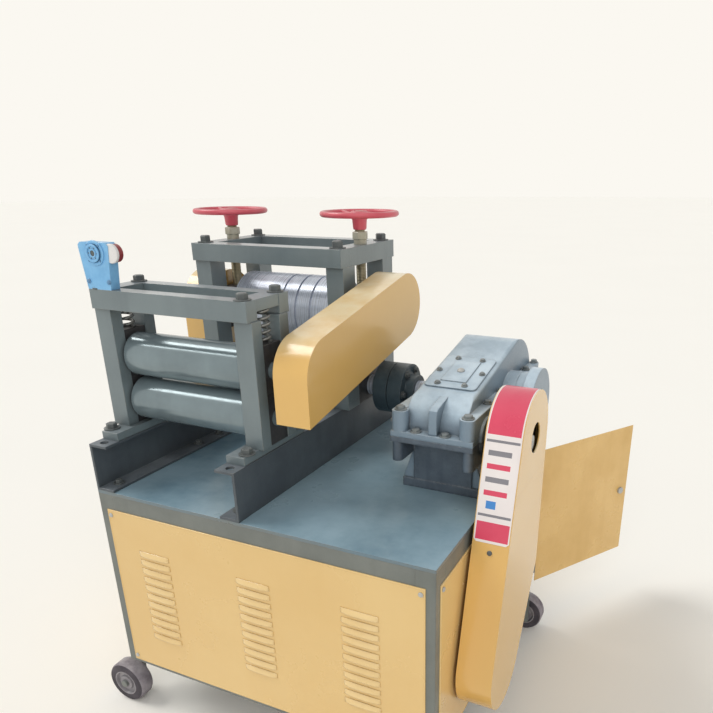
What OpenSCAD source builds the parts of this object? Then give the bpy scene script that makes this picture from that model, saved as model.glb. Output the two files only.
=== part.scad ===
// Rebar straightening machine: two roll stands and a speed reducer on a wheeled cabinet.
// Set-out: x runs right from the cabinet's left side, y runs back from its front, z rises from the floor.

/* [Cabinet] */
// Width of the cabinet and its table
cabinet_w = 900; // [840:1:960]
// Depth of the cabinet
cabinet_d = 794; // [770:1:830]
// Height from the cabinet's feet to the table's top
cabinet_h = 510; // [480:1:560]
// Side of the square corner posts
post_w = 45; // [40:1:50]
// Height of the top rails
rail_h = 42; // [38:1:50]
// Height of the bottom rails
sill_h = 36; // [30:1:45]
// Thickness of the table plate
table_t = 8; // [6:0.5:10]
// Thickness of the sheet panels
sheet_t = 2; // [1.5:0.5:3]
// Bare post left beside a panel
panel_inset = 22; // [18:1:26]
// Length of one louvre
louvre_len = 84; // [70:1:90]
// Height of one louvre's slot
louvre_h = 5; // [4:0.5:7]
// Number of louvres in a column
louvre_count = 11; // [8:1:12]
// Distance between louvres
louvre_pitch = 24.5; // [19:0.5:28]

/* [Back door] */
// Width of the door leaf
door_w = 400; // [360:1:420]
// Angle the door stands open, from straight back
door_angle = 32.6; // [25:0.1:60]
// Distance of the hinge line from the post's faces
hinge_off = 6; // [5:0.5:9]
// Radius of the hinge barrel
barrel_r = 5; // [4:0.5:5]
// Length of one hinge
hinge_len = 60; // [50:1:80]

/* [Wheels] */
// Diameter of a wheel
wheel_d = 118; // [100:1:124]
// Width of a wheel
wheel_w = 45; // [38:1:50]
// Distance of a wheel's centre outside the cabinet's side
wheel_out = 30; // [20:1:40]
// How far the rear wheels stand in from the cabinet's sides
rear_wheel_in = 10; // [0:1:20]
// Distance of a wheel's face beyond the cabinet's front or back
wheel_proud = 9; // [4:1:14]
// Height of the cabinet's feet over the axles
axle_drop_h = 90; // [80:1:100]
// Radius of an axle
axle_r = 10; // [8:0.5:12]

/* [Channel rails] */
// Height of a channel
channel_h = 120; // [110:1:130]
// Width of a channel's flange
channel_b = 53; // [48:1:58]
// Thickness of the web and flanges
channel_t = 6; // [5:0.5:8]
// Distance over both channels
rail_span = 427; // [420:1:440]
// Diameter of the bolt hole in each channel's front end
bolt_hole_d = 20; // [16:0.5:24]
// Distance of that hole from the channel's end
bolt_hole_y = 22; // [18:0.5:26]

/* [Front stand] */
// Distance of the front stand's axis from the cabinet's front
front_axis_y = 161; // [150:1:175]
// Radius of the front rolls
front_roll_r = 53; // [48:0.5:54]
// Height of the lower front roll's axis over the table
front_low_z = 198; // [190:1:205]
// Distance between the front roll axes
front_rise_h = 111; // [110:0.5:116]
// Height of the front stand's top over the table
front_top_z = 473; // [460:1:490]
// Depth of the front stand
front_depth = 152; // [146:1:158]
// Width of a column
front_col_w = 47; // [42:1:50]
// Depth of a column
front_col_d = 32; // [28:1:34]
// Height of the cross ties
front_tie_h = 45; // [40:1:50]
// Thickness of the side bars
front_bar_t = 26; // [22:1:30]
// Travel of the sprung upper roll
front_travel = 8; // [4:0.5:9]
// Radius of a spring
spring_r = 19; // [16:0.5:21]
// Radius of a spring's wire
spring_wire_r = 3.5; // [2.5:0.25:4]

/* [Rear stand] */
// Distance of the rear stand's axis from the cabinet's back
rear_back_y = 191; // [180:1:200]
// Radius of the rear rolls
rear_roll_r = 97; // [90:0.5:98]
// Height of the lower rear roll's axis over the table
rear_low_z = 156; // [154:1:164]
// Distance between the rear roll axes
rear_rise_h = 200; // [200:0.5:208]
// Height of the rear stand's top over the table
rear_top_z = 542; // [530:1:560]
// Depth of the rear stand
rear_depth = 298; // [290:1:306]
// Distance of the rear stand's beams beyond the rails
rear_over_x = 21; // [17:0.5:25]
// Width of a column and of a beam
rear_col_w = 50; // [46:1:54]
// Depth of a column
rear_col_d = 60; // [54:1:64]
// Height of the beams
rear_beam_h = 46; // [42:1:52]
// Lift of the upper roll
rear_travel = 15; // [8:0.5:18]
// Radius of a handwheel
handwheel_r = 104; // [95:1:108]
// Height of the handwheels over the stand
handwheel_rise_h = 77; // [70:1:85]
// Radius of a screw
screw_r = 14; // [12:0.5:16]

/* [Speed reducer] */
// Distance of the reducer's middle from the cabinet's right side
reducer_in_x = 124; // [120:1:130]
// Width of the casing
casing_w = 150; // [140:1:160]
// Width of the joint flange
flange_w = 202; // [196:1:208]
// Distance of the flange's front end before the output shaft
flange_front_y = 345; // [335:1:352]
// Length of the flange
flange_len = 555; // [545:1:565]
// Thickness of each half of the flange
flange_t = 13; // [11:0.5:15]
// Thickness of the feet
foot_t = 22; // [18:1:26]
// Radius of the casing's high end
high_end_r = 146; // [138:1:152]
// Height of the bolt bosses on the flange
ledge_h = 48; // [40:1:56]

/* [Belt guard] */
// Distance of the input shaft before the output shaft
pulley_front_y = 257; // [250:1:262]
// Place of the motor axis, as a share of the cabinet depth
motor_place_share = 0.258; // [0.24:0.002:0.28]
// Width of the guard
guard_w = 84; // [78:1:90]
// Gap between the guard and the cabinet's side
guard_gap = 10; // [8:1:14]
// Height of the upper end's middle over the feet
guard_top_z = 680; // [674:1:688]
// Radius of the guard's upper end
guard_top_r = 108; // [104:1:114]
// Radius of the guard's lower end
guard_low_r = 110; // [104:1:114]
// Height of the rear bend's middle over the feet
guard_bend_z = 335; // [320:1:350]
// Radius of the rear bend
guard_bend_r = 60; // [50:1:70]
// Height over the feet where the upper cap meets the lower box
guard_seam_z = 585; // [570:1:600]
// Diameter of the round hole in the guard
guard_hole_d = 70; // [60:1:80]

/* [Chain guard] */
// Gap between the rails and the chain guard
chain_gap_x = 48; // [44:1:54]
// Width of the chain guard
chain_w = 87; // [80:1:94]
// Radius of its ends
chain_r = 85; // [80:1:88]
// Slope of the chain guard, in degrees
chain_slope = 11; // [9:0.5:12]

/* [Hidden] */
$fn = 64;

// Fits: a slide beside its guide, a shaft in its bore, and the safety gap round moving pieces
slide_gap = 0.5;
run_gap = 0.05;
free_gap = 6;

// Levels over the floor
axle_z = wheel_d / 2;
foot_z = axle_z + axle_drop_h;
table_z = foot_z + cabinet_h;
frame_z = table_z - table_t;
channel_z = table_z + channel_h;
front_low = table_z + front_low_z;
front_high = front_low + front_rise_h;
front_top = table_z + front_top_z;
rear_low = table_z + rear_low_z;
rear_high = rear_low + rear_rise_h;
rear_top = table_z + rear_top_z;
motor_foot_h = 132;
motor_axis = foot_z + sill_h + motor_foot_h;

// Places tied to the cabinet, the rails and the shafts
rear_axis_y = cabinet_d - rear_back_y;
rear_span = rail_span + 2 * rear_over_x;
chain_x = rail_span + chain_gap_x;
reducer_x = cabinet_w - reducer_in_x;
flange_y = rear_axis_y - flange_front_y;
pulley_y = rear_axis_y - pulley_front_y;
motor_y = cabinet_d * motor_place_share;

// The door's hinge line and the footprint's middle, which is the part's origin
hinge_x = cabinet_w + hinge_off - sheet_t;
hinge_y = cabinet_d + hinge_off;
guard_x = cabinet_w + guard_gap;
cover_w = 100;
left_reach = -rear_over_x - cover_w;
right_reach = hinge_x + door_w * sin(door_angle) + sheet_t / 2 * cos(door_angle);
back_reach = hinge_y + door_w * cos(door_angle) + sheet_t / 2 * sin(door_angle);
axle_cap = 6;
front_reach = -wheel_proud - axle_cap;
origin_x = (left_reach + right_reach) / 2;
origin_y = (front_reach + back_reach) / 2;

// Moves a piece from the set-out to the part's own frame
module placed() {
    translate([-origin_x, -origin_y, 0])
        children();
}

// A block between two opposite corners
module slab(low, high) {
    translate(low)
        cube(high - low);
}

// Round bars along x, y and z from a starting point
module bar_x(at, r, len) {
    translate(at)
        rotate([0, 90, 0])
            cylinder(h = len, r = r);
}

module bar_y(at, r, len) {
    translate(at)
        rotate([-90, 0, 0])
            cylinder(h = len, r = r);
}

module bar_z(at, r, len) {
    translate(at)
        cylinder(h = len, r = r);
}

// An outline drawn in y and z, pulled out along x
module pulled_x(x, len) {
    translate([x, 0, 0])
        rotate([90, 0, 90])
            linear_extrude(len)
                children();
}

// An outline drawn in x and z, pulled out along y
module pulled_y(y, len) {
    translate([0, y + len, 0])
        rotate([90, 0, 0])
            linear_extrude(len)
                children();
}

// The two ends of the tangent on the right of the way from one circle to another
function outer(p, rp, q, rq) =
    let (way = q - p, turn = atan2(way[1], way[0]) - acos((rp - rq) / norm(way)))
    [p + rp * [cos(turn), sin(turn)], q + rq * [cos(turn), sin(turn)]];

// Two circles joined by their outer tangents
module strap(a, ra, b, rb) {
    translate(a)
        circle(ra);
    translate(b)
        circle(rb);
    polygon(concat(outer(a, ra, b, rb), outer(b, rb, a, ra)));
}

// Cabinet: welded frame, table and sheet panels
module cabinet_posts() {
    color("darkslategray")
        placed()
            for (x = [0, cabinet_w - post_w], y = [0, cabinet_d - post_w])
                slab([x, y, foot_z], [x + post_w, y + post_w, frame_z]);
}

module cabinet_rails() {
    color("darkslategray")
        placed()
            for (level = [[foot_z, foot_z + sill_h], [frame_z - rail_h, frame_z]]) {
                for (y = [0, cabinet_d - post_w])
                    slab([post_w, y, level[0]], [cabinet_w - post_w, y + post_w, level[1]]);
                for (x = [0, cabinet_w - post_w])
                    slab([x, post_w, level[0]], [x + post_w, cabinet_d - post_w, level[1]]);
            }
}

module table_plate() {
    color("slategray")
        placed()
            slab([0, 0, frame_z], [cabinet_w, cabinet_d, table_z]);
}

panel_low = foot_z + sill_h / 4;
panel_high = frame_z - rail_h + sheet_t;
louvre_top = panel_high - louvre_pitch * 4.4;
louvre_shares = [0.17, 0.496, 0.805];

module front_panel() {
    color("goldenrod")
        placed()
            difference() {
                slab([panel_inset, -sheet_t, panel_low], [cabinet_w - panel_inset, 0, panel_high]);
                for (share = louvre_shares, i = [0:louvre_count - 1])
                    translate([cabinet_w * share - louvre_len / 2, -2 * sheet_t,
                            louvre_top - i * louvre_pitch])
                        cube([louvre_len, 3 * sheet_t, louvre_h]);
            }
}

module left_panel() {
    color("goldenrod")
        placed()
            slab([-sheet_t, panel_inset, panel_low], [0, cabinet_d - panel_inset, panel_high]);
}

motor_shaft_r = 19;

module right_panel() {
    color("goldenrod")
        placed()
            difference() {
                slab([cabinet_w, panel_inset, panel_low],
                    [cabinet_w + sheet_t, cabinet_d - panel_inset, panel_high]);
                bar_x([cabinet_w - sheet_t, motor_y, motor_axis], motor_shaft_r + free_gap, 3 * sheet_t);
            }
}

module back_panel() {
    color("goldenrod")
        placed()
            slab([panel_inset, cabinet_d, panel_low],
                [cabinet_w - door_w - free_gap, cabinet_d + sheet_t, panel_high]);
}

// Back door, drawn along y from its hinge line and swung open
door_low = panel_low;
door_high = panel_high;
lock_r = 11;
lock_reach = 12;
lock_edge = 30;

module on_door() {
    placed()
        translate([hinge_x, hinge_y, 0])
            rotate([0, 0, -door_angle])
                children();
}

hinge_shares = [0.14, 0.86];
hinge_bases = [for (share = hinge_shares) door_low + (door_high - door_low) * share - hinge_len / 2];
lift_gap = 0.3;
knuckle_len = hinge_len / 2 - lift_gap;

module back_door() {
    color("goldenrod")
        on_door()
            difference() {
                union() {
                    slab([-sheet_t / 2, barrel_r + sheet_t, door_low], [sheet_t / 2, door_w, door_high]);
                    for (base = hinge_bases) {
                        bar_z([0, 0, base + hinge_len - knuckle_len], barrel_r, knuckle_len);
                        slab([-sheet_t / 2, 0, base + hinge_len - knuckle_len],
                            [sheet_t / 2, 2 * barrel_r, base + hinge_len]);
                    }
                }
                bar_x([-sheet_t, door_w - lock_edge, (door_low + door_high) / 2], lock_r / 2, 2 * sheet_t);
            }
}

module door_lock() {
    color("dimgray")
        on_door()
            translate([0, door_w - lock_edge, (door_low + door_high) / 2]) {
                bar_x([sheet_t / 2, 0, 0], lock_r, lock_reach / 2);
                bar_x([-lock_reach, 0, 0], lock_r / 2, lock_reach + sheet_t);
            }
}

module door_hinges() {
    color("dimgray")
        placed()
            for (base = hinge_bases) {
                bar_z([hinge_x, hinge_y, base], barrel_r, hinge_len / 2);
                slab([cabinet_w, cabinet_d - panel_inset, base],
                    [cabinet_w + hinge_off - sheet_t, hinge_y, base + hinge_len / 2]);
            }
}

// Drive motor inside the cabinet, on two rails between the sills
motor_r = 105;
motor_len = 330;
motor_end = 40;
motor_foot_t = 14;
motor_foot_w = 216;
motor_x = cabinet_w - post_w - motor_end - motor_len;
motor_end_shares = [0.92, 0.8];
motor_foot_shares = [0.12, 0.88];
motor_base_share = 0.8;
motor_box_shares = [0.5, 0.7, 1.3];
motor_feet_x = [for (share = motor_foot_shares) motor_x + (motor_len - motor_end) * share];

module motor() {
    color("steelblue")
        placed() {
            bar_x([motor_x, motor_y, motor_axis], motor_r, motor_len);
            bar_x([motor_x - motor_end, motor_y, motor_axis], motor_r * motor_end_shares[0], motor_end);
            bar_x([motor_x + motor_len, motor_y, motor_axis], motor_r * motor_end_shares[1], motor_end);
            bar_x([motor_x + motor_len, motor_y, motor_axis], motor_shaft_r,
                guard_x + guard_w / 2 - motor_x - motor_len);
            for (x = motor_feet_x)
                slab([x, motor_y - motor_foot_w / 2, motor_axis - motor_foot_h],
                    [x + motor_end, motor_y + motor_foot_w / 2, motor_axis - motor_foot_h + motor_foot_t]);
            slab([motor_x + motor_end, motor_y - motor_r * motor_base_share, motor_axis - motor_foot_h],
                [motor_x + motor_len - motor_end, motor_y + motor_r * motor_base_share,
                    motor_axis - motor_r / 2]);
            slab([motor_x + motor_len / 3, motor_y - motor_r * motor_box_shares[0],
                    motor_axis + motor_r * motor_box_shares[1]],
                [motor_x + motor_len * 2 / 3, motor_y + motor_r * motor_box_shares[0],
                    motor_axis + motor_r * motor_box_shares[2]]);
        }
}

module motor_rails() {
    color("darkslategray")
        placed()
            for (x = motor_feet_x)
                slab([x, post_w, foot_z], [x + motor_end, cabinet_d - post_w, foot_z + sill_h]);
}

// Wheels on stub axles
bracket_t = 10;
bracket_w = 40;
arm_w = 60;
hub_r = 24;
tread_t = 14;
tread_r = axle_z - tread_t;

// Bracket and stub axle of one wheel, at a distance from the cabinet's side
module axle_bracket(x) {
    inner_y = wheel_w - wheel_proud + free_gap;
    slab([x - bracket_w / 2, inner_y, foot_z - bracket_t],
        [post_w + bracket_w, inner_y + arm_w, foot_z]);
    slab([x - bracket_w / 2, inner_y, axle_z - bracket_w / 2],
        [x + bracket_w / 2, inner_y + bracket_t, foot_z - bracket_t]);
    bar_y([x, -wheel_proud - axle_cap, axle_z], axle_r, wheel_w + axle_cap + free_gap + bracket_t);
}

module axle_brackets() {
    color("dimgray")
        placed()
            for (mx = [0, 1], my = [0, 1])
                translate([mx * cabinet_w, my * cabinet_d, 0])
                    mirror([mx, 0, 0])
                        mirror([0, my, 0])
                            axle_bracket(wheel_side_x[my]);
}

module road_wheel(x, y) {
    color("dimgray")
        placed()
            difference() {
                bar_y([x, y, axle_z], axle_z, wheel_w);
                bar_y([x, y - axle_cap, axle_z], axle_r + run_gap, wheel_w + 2 * axle_cap);
                difference() {
                    bar_y([x, y - axle_cap, axle_z], tread_r, 2 * axle_cap);
                    bar_y([x, y - axle_cap, axle_z], hub_r, 2 * axle_cap);
                }
                difference() {
                    bar_y([x, y + wheel_w - axle_cap, axle_z], tread_r, 2 * axle_cap);
                    bar_y([x, y + wheel_w - axle_cap, axle_z], hub_r, 2 * axle_cap);
                }
            }
}

back_wheel_y = cabinet_d + wheel_proud - wheel_w;
wheel_side_x = [-wheel_out, rear_wheel_in];

module front_left_wheel() {
    road_wheel(wheel_side_x[0], -wheel_proud);
}

module front_right_wheel() {
    road_wheel(cabinet_w - wheel_side_x[0], -wheel_proud);
}

module rear_left_wheel() {
    road_wheel(wheel_side_x[1], back_wheel_y);
}

module rear_right_wheel() {
    road_wheel(cabinet_w - wheel_side_x[1], back_wheel_y);
}

// Channel rails that carry both stands
rail_len = cabinet_d - hinge_off;

module channel() {
    difference() {
        slab([0, 0, table_z], [channel_b, rail_len, channel_z]);
        slab([channel_t, -channel_t, table_z + channel_t],
            [channel_b + channel_t, rail_len + channel_t, channel_z - channel_t]);
        bar_z([channel_b / 2, bolt_hole_y, channel_z - 2 * channel_t], bolt_hole_d / 2, 3 * channel_t);
    }
}

module left_channel() {
    color("darkslategray")
        placed()
            channel();
}

module right_channel() {
    color("darkslategray")
        placed()
            translate([rail_span, 0, 0])
                mirror([1, 0, 0])
                    channel();
}

// Front stand: base bars, columns, ties and side bars round the chock windows
base_t = 19;
base_w = 49;
base_over = 44;
front_y0 = front_axis_y - front_depth / 2;
front_y1 = front_axis_y + front_depth / 2;
front_base = channel_z + base_t;
tie_over = 10;
tie_d = 35;
front_left_x = -11;
front_col_y = [front_y0 + tie_over, front_y1 - tie_over - front_col_d];
front_window = [front_y0 + tie_over + front_col_d, front_y1 - tie_over - front_col_d];
tie_left = 7;
tie_right = 8;
front_tie_x = [-tie_left, rail_span + tie_right];

// Repeats a left-hand piece on the right of the rails
module both_sides() {
    children();
    translate([rail_span, 0, 0])
        mirror([1, 0, 0])
            children();
}

module front_columns() {
    color("darkslategray")
        placed()
            both_sides()
                for (y = front_col_y)
                    slab([front_left_x, y, front_base],
                        [front_left_x + front_col_w, y + front_col_d, front_top - front_tie_h]);
}

module front_ties() {
    color("darkslategray")
        placed()
            for (y = [front_y0, front_y1 - tie_d])
                slab([front_tie_x[0], y, front_top - front_tie_h], [front_tie_x[1], y + tie_d, front_top]);
}

module front_side_bars() {
    color("darkslategray")
        placed()
            both_sides()
                slab([front_tie_x[0], front_y0 + tie_d, front_top - front_bar_t],
                    [front_tie_x[0] + base_w, front_y1 - tie_d, front_top]);
}

front_journal_r = 20;
chock_lip = 3;
front_chock_half = 48;
front_chock_x = [front_left_x + chock_lip, front_left_x + front_col_w - chock_lip];
front_chock_head = 14;
front_spring_z = front_high + front_chock_half + front_chock_head;

module front_lower_chocks() {
    color("gray")
        placed()
            both_sides()
                difference() {
                    slab([front_chock_x[0], front_window[0], front_base],
                        [front_chock_x[1], front_window[1], front_high - front_chock_half - lift_gap]);
                    bar_x([front_chock_x[0] - chock_lip, front_axis_y, front_low],
                        front_journal_r + run_gap, front_col_w);
                }
}

module front_upper_chocks() {
    color("gray")
        placed()
            both_sides()
                difference() {
                    slab([front_chock_x[0], front_window[0] + slide_gap, front_high - front_chock_half],
                        [front_chock_x[1], front_window[1] - slide_gap, front_spring_z]);
                    bar_x([front_chock_x[0] - chock_lip, front_axis_y, front_high],
                        front_journal_r + run_gap, front_col_w);
                }
}

module front_springs() {
    color("silver")
        placed()
            both_sides() {
                middle = (front_chock_x[0] + front_chock_x[1]) / 2;
                length = front_top - front_bar_t - front_spring_z;
                turns = 5;
                bar_z([middle, front_axis_y, front_spring_z], spring_r - 3 * spring_wire_r, length);
                for (i = [0:turns - 1])
                    translate([middle, front_axis_y,
                            front_spring_z + spring_wire_r + i * (length - 2 * spring_wire_r) / (turns - 1)])
                        difference() {
                            cylinder(h = 2 * spring_wire_r, r = spring_r, center = true);
                            cylinder(h = 3 * spring_wire_r, r = spring_r - 4 * spring_wire_r, center = true);
                        }
            }
}

front_roll_x = [front_left_x + front_col_w + free_gap, rail_span - front_left_x - front_col_w - free_gap];
front_roll_len = front_roll_x[1] - front_roll_x[0];
front_end_x = front_chock_x[0] - chock_lip;

module front_lower_roll() {
    color("lightgray")
        placed() {
            bar_x([front_roll_x[0], front_axis_y, front_low], front_roll_r, front_roll_len);
            bar_x([front_end_x, front_axis_y, front_low], front_journal_r, rail_span - 2 * front_end_x);
        }
}

module front_upper_roll() {
    color("lightgray")
        placed() {
            bar_x([front_roll_x[0], front_axis_y, front_high], front_roll_r, front_roll_len);
            bar_x([front_end_x, front_axis_y, front_high], front_journal_r,
                chain_x + chain_w / 2 - front_end_x);
        }
}

// Rear stand: columns on pads, beams, chocks and screw-down
rear_x0 = -rear_over_x;
rear_y0 = rear_axis_y - rear_depth / 2;
rear_y1 = rear_axis_y + rear_depth / 2;
beam_over = 10;
rear_base = channel_z + base_t;
rear_col_y = [rear_y0 + beam_over, rear_y1 - beam_over - rear_col_d];
rear_window = [rear_y0 + beam_over + rear_col_d, rear_y1 - beam_over - rear_col_d];
rear_beam_z = rear_top - rear_beam_h;

module stand_bases() {
    color("darkslategray")
        placed()
            both_sides() {
                slab([channel_b / 2 - base_w / 2, front_y0 - base_over, channel_z],
                    [channel_b / 2 + base_w / 2, front_y1 + base_over, front_base]);
                for (y = rear_col_y)
                    slab([rear_x0, y, channel_z], [channel_b, y + rear_col_d, rear_base]);
            }
}

module rear_columns() {
    color("darkslategray")
        placed()
            both_sides()
                for (y = rear_col_y)
                    slab([rear_x0, y, rear_base], [rear_x0 + rear_col_w, y + rear_col_d, rear_beam_z]);
}

module rear_ties() {
    color("darkslategray")
        placed()
            for (y = [rear_y0, rear_y1 - rear_col_w])
                slab([rear_x0, y, rear_beam_z], [rear_x0 + rear_span, y + rear_col_w, rear_top]);
}

screw_x = rear_x0 + rear_col_w / 2;

module rear_side_beams() {
    color("darkslategray")
        placed()
            both_sides()
                difference() {
                    slab([rear_x0, rear_y0 + rear_col_w, rear_beam_z],
                        [rear_x0 + rear_col_w, rear_y1 - rear_col_w, rear_top]);
                    bar_z([screw_x, rear_axis_y, rear_beam_z - beam_over], screw_r + 2 * slide_gap,
                        rear_beam_h + 2 * beam_over);
                }
}

rear_journal_r = 28;
rear_chock_half = 56;
rear_chock_x = [rear_x0 + chock_lip, rear_x0 + rear_col_w - chock_lip];
rear_chock_top = rear_high + rear_chock_half;

module rear_lower_chocks() {
    color("gray")
        placed()
            both_sides()
                difference() {
                    slab([rear_chock_x[0], rear_window[0], channel_z],
                        [rear_chock_x[1], rear_window[1], rear_low + rear_chock_half]);
                    bar_x([rear_x0, rear_axis_y, rear_low], rear_journal_r + run_gap, rear_col_w);
                }
}

module rear_upper_chocks() {
    color("gray")
        placed()
            both_sides()
                difference() {
                    slab([rear_chock_x[0], rear_window[0] + slide_gap, rear_high - rear_chock_half],
                        [rear_chock_x[1], rear_window[1] - slide_gap, rear_chock_top]);
                    bar_x([rear_x0, rear_axis_y, rear_high], rear_journal_r + run_gap, rear_col_w);
                }
}

rear_roll_x = [channel_b + free_gap, rail_span - channel_b - free_gap];
groove_d = 5;
groove_w = 6;
groove_shares = [0.51, 0.66, 0.81];
output_end_x = reducer_x - casing_w / 2;

// A grooved roll body between the stand's columns
module rear_roll_body(z) {
    difference() {
        bar_x([rear_roll_x[0], rear_axis_y, z], rear_roll_r, rear_roll_x[1] - rear_roll_x[0]);
        for (share = groove_shares)
            difference() {
                bar_x([rear_roll_x[0] + (rear_roll_x[1] - rear_roll_x[0]) * share, rear_axis_y, z],
                    rear_roll_r + groove_d, groove_w);
                bar_x([rear_roll_x[0] + (rear_roll_x[1] - rear_roll_x[0]) * share - groove_w, rear_axis_y, z],
                    rear_roll_r - groove_d, 3 * groove_w);
            }
    }
}

gear_shaft_x = rear_x0 - cover_w / 2;

module rear_lower_roll() {
    color("lightgray")
        placed() {
            rear_roll_body(rear_low);
            bar_x([gear_shaft_x, rear_axis_y, rear_low], rear_journal_r, output_end_x - gear_shaft_x);
        }
}

module rear_upper_roll() {
    color("lightgray")
        placed() {
            rear_roll_body(rear_high);
            bar_x([gear_shaft_x, rear_axis_y, rear_high], rear_journal_r,
                chain_x + chain_w / 2 - gear_shaft_x);
        }
}

// Jaw coupling in the room between the stand and the reducer's output neck
boss_over = 6;
boss_len = flange_w + 2 * boss_over;
neck_len = 40;
rear_stand_x = rail_span - rear_x0;
neck_x = reducer_x - boss_len / 2 - neck_len;
coupling_shares = [0.2, 0.6];
coupling_x = rear_stand_x + (neck_x - rear_stand_x) * coupling_shares[0];
coupling_len = (neck_x - rear_stand_x) * coupling_shares[1];
coupling_r = 71;
coupling_hub_share = 0.6;
coupling_half_share = 0.95;

module shaft_coupling() {
    jaw = coupling_len / 5;
    color("dimgray")
        placed()
            difference() {
                union() {
                    bar_x([coupling_x, rear_axis_y, rear_low], coupling_r * coupling_hub_share, coupling_len);
                    for (i = [0, 1])
                        bar_x([coupling_x + 2 * i * jaw, rear_axis_y, rear_low], coupling_r,
                            2 * jaw * coupling_half_share);
                }
                bar_x([coupling_x - jaw, rear_axis_y, rear_low], rear_journal_r, coupling_len + 2 * jaw);
            }
}

// Screws, handwheels and nuts
nut_r = 19.5;
nut_h = 20;
nut_neck_r = 17.5;
nut_neck_h = 12;
handwheel_z = rear_top + handwheel_rise_h;
rim_r = 7.5;
wheel_hub_r = 20;
wheel_hub_h = 40;
spoke_r = 6;
spoke_count = 3;

module screw() {
    bar_z([screw_x, rear_axis_y, rear_chock_top], screw_r, handwheel_z - rear_chock_top);
}

module handwheel() {
    translate([screw_x, rear_axis_y, handwheel_z]) {
        rotate_extrude()
            translate([handwheel_r - rim_r, 0])
                circle(rim_r);
        difference() {
            translate([0, 0, -wheel_hub_h])
                cylinder(h = wheel_hub_h + rim_r, r = wheel_hub_r);
            translate([0, 0, -2 * wheel_hub_h])
                cylinder(h = 2 * wheel_hub_h, r = screw_r);
        }
        for (i = [0:spoke_count - 1])
            rotate([0, 0, i * 360 / spoke_count])
                bar_x([wheel_hub_r - rim_r / 3, 0, 0], spoke_r, handwheel_r - wheel_hub_r - rim_r);
    }
}

module left_screw() {
    color("silver")
        placed()
            screw();
}

module right_screw() {
    color("silver")
        placed()
            translate([rail_span, 0, 0])
                mirror([1, 0, 0])
                    screw();
}

module left_handwheel() {
    color("firebrick")
        placed()
            handwheel();
}

module right_handwheel() {
    color("firebrick")
        placed()
            translate([rail_span, 0, 0])
                mirror([1, 0, 0])
                    handwheel();
}

module screw_nuts() {
    color("gray")
        placed()
            both_sides()
                difference() {
                    union() {
                        bar_z([screw_x, rear_axis_y, rear_top], nut_neck_r, nut_neck_h + nut_h / 2);
                        bar_z([screw_x, rear_axis_y, rear_top + nut_neck_h], nut_r, nut_h);
                    }
                    bar_z([screw_x, rear_axis_y, rear_top - nut_h], screw_r + slide_gap, 4 * nut_h);
                }
}

// Guards over the roll gears and the chain
shell_t = 3;
gear_guard_r = 98;
slot_r = rear_journal_r + free_gap;
front_slot_r = front_journal_r + free_gap;

module gear_guard() {
    low = [rear_axis_y, rear_low];
    high = [rear_axis_y, rear_high];
    color("goldenrod")
        placed()
            difference() {
                pulled_x(rear_x0 - cover_w, cover_w)
                    strap(low, gear_guard_r, high, gear_guard_r);
                pulled_x(rear_x0 - cover_w + shell_t, cover_w - 2 * shell_t)
                    strap(low, gear_guard_r - shell_t, high, gear_guard_r - shell_t);
                pulled_x(rear_x0 - 2 * shell_t, 3 * shell_t)
                    strap(high, slot_r, high + [0, rear_travel], slot_r);
                pulled_x(rear_x0 - 2 * shell_t, 3 * shell_t)
                    translate(low)
                        circle(slot_r);
            }
}

chain_front_y = 26;
chain_rear_y = 7;
chain_a = [front_axis_y + chain_front_y, front_high];
chain_run = rear_axis_y - chain_rear_y - chain_a[0];
chain_b = chain_a + chain_run * [1, tan(chain_slope)];

// Side outline: two rounded ends, with a square corner low at the front
module chain_outline(r) {
    strap(chain_a, r, chain_b, r);
    polygon([chain_a, chain_a - [r, 0], chain_a - r * [1, tan(chain_slope) + 1 / cos(chain_slope)],
        chain_a + r * [sin(chain_slope), -cos(chain_slope)]]);
}

module chain_guard() {
    color("goldenrod")
        placed()
            difference() {
                pulled_x(chain_x, chain_w)
                    chain_outline(chain_r);
                pulled_x(chain_x + shell_t, chain_w - 2 * shell_t)
                    chain_outline(chain_r - shell_t);
                pulled_x(chain_x - shell_t, 3 * shell_t)
                    strap([rear_axis_y, rear_high], slot_r, [rear_axis_y, rear_high + rear_travel], slot_r);
                pulled_x(chain_x - shell_t, 3 * shell_t)
                    strap([front_axis_y, front_high], front_slot_r,
                        [front_axis_y, front_high + front_travel], front_slot_r);
            }
}

// Speed reducer: cast base and cover with a sloping top, bolted on the table
joint_z = rear_low;
foot_in = 72;
foot_y = flange_y + foot_in;
foot_len = flange_len - 2 * foot_in;
foot_w = 206;
casing_front_in = 26;
casing_rear_in = 5;
base_front_in = 74;
corner_r = 19;
casing_y0 = flange_y + casing_front_in;
casing_y1 = flange_y + flange_len - casing_rear_in;
boss_shares = [0, 0.39, 1];
boss_y = [for (share = boss_shares) pulley_y + pulley_front_y * share];
boss_r = [46, 52, 85];
bore_r = rear_journal_r + free_gap;
input_r = 16;
input_bore_r = input_r + run_gap;
ledge_r = (flange_w - casing_w) / 4;
ledge_y = [flange_y + ledge_r + slide_gap, flange_y + flange_len - ledge_r - slide_gap];

// A row of bolt bosses with a round front end along both sides of the flange
module ledges(z) {
    for (side = [-1, 1]) {
        x = reducer_x + side * (flange_w / 2 - ledge_r - slide_gap);
        for (y = ledge_y)
            bar_z([x, y, z], ledge_r, ledge_h);
        slab([x - ledge_r, ledge_y[0], z], [x + ledge_r, ledge_y[1], z + ledge_h]);
    }
}

// The bearing bosses across the casing
module bosses() {
    for (i = [0:2])
        bar_x([reducer_x - boss_len / 2, boss_y[i], joint_z], boss_r[i], boss_len);
}

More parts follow.
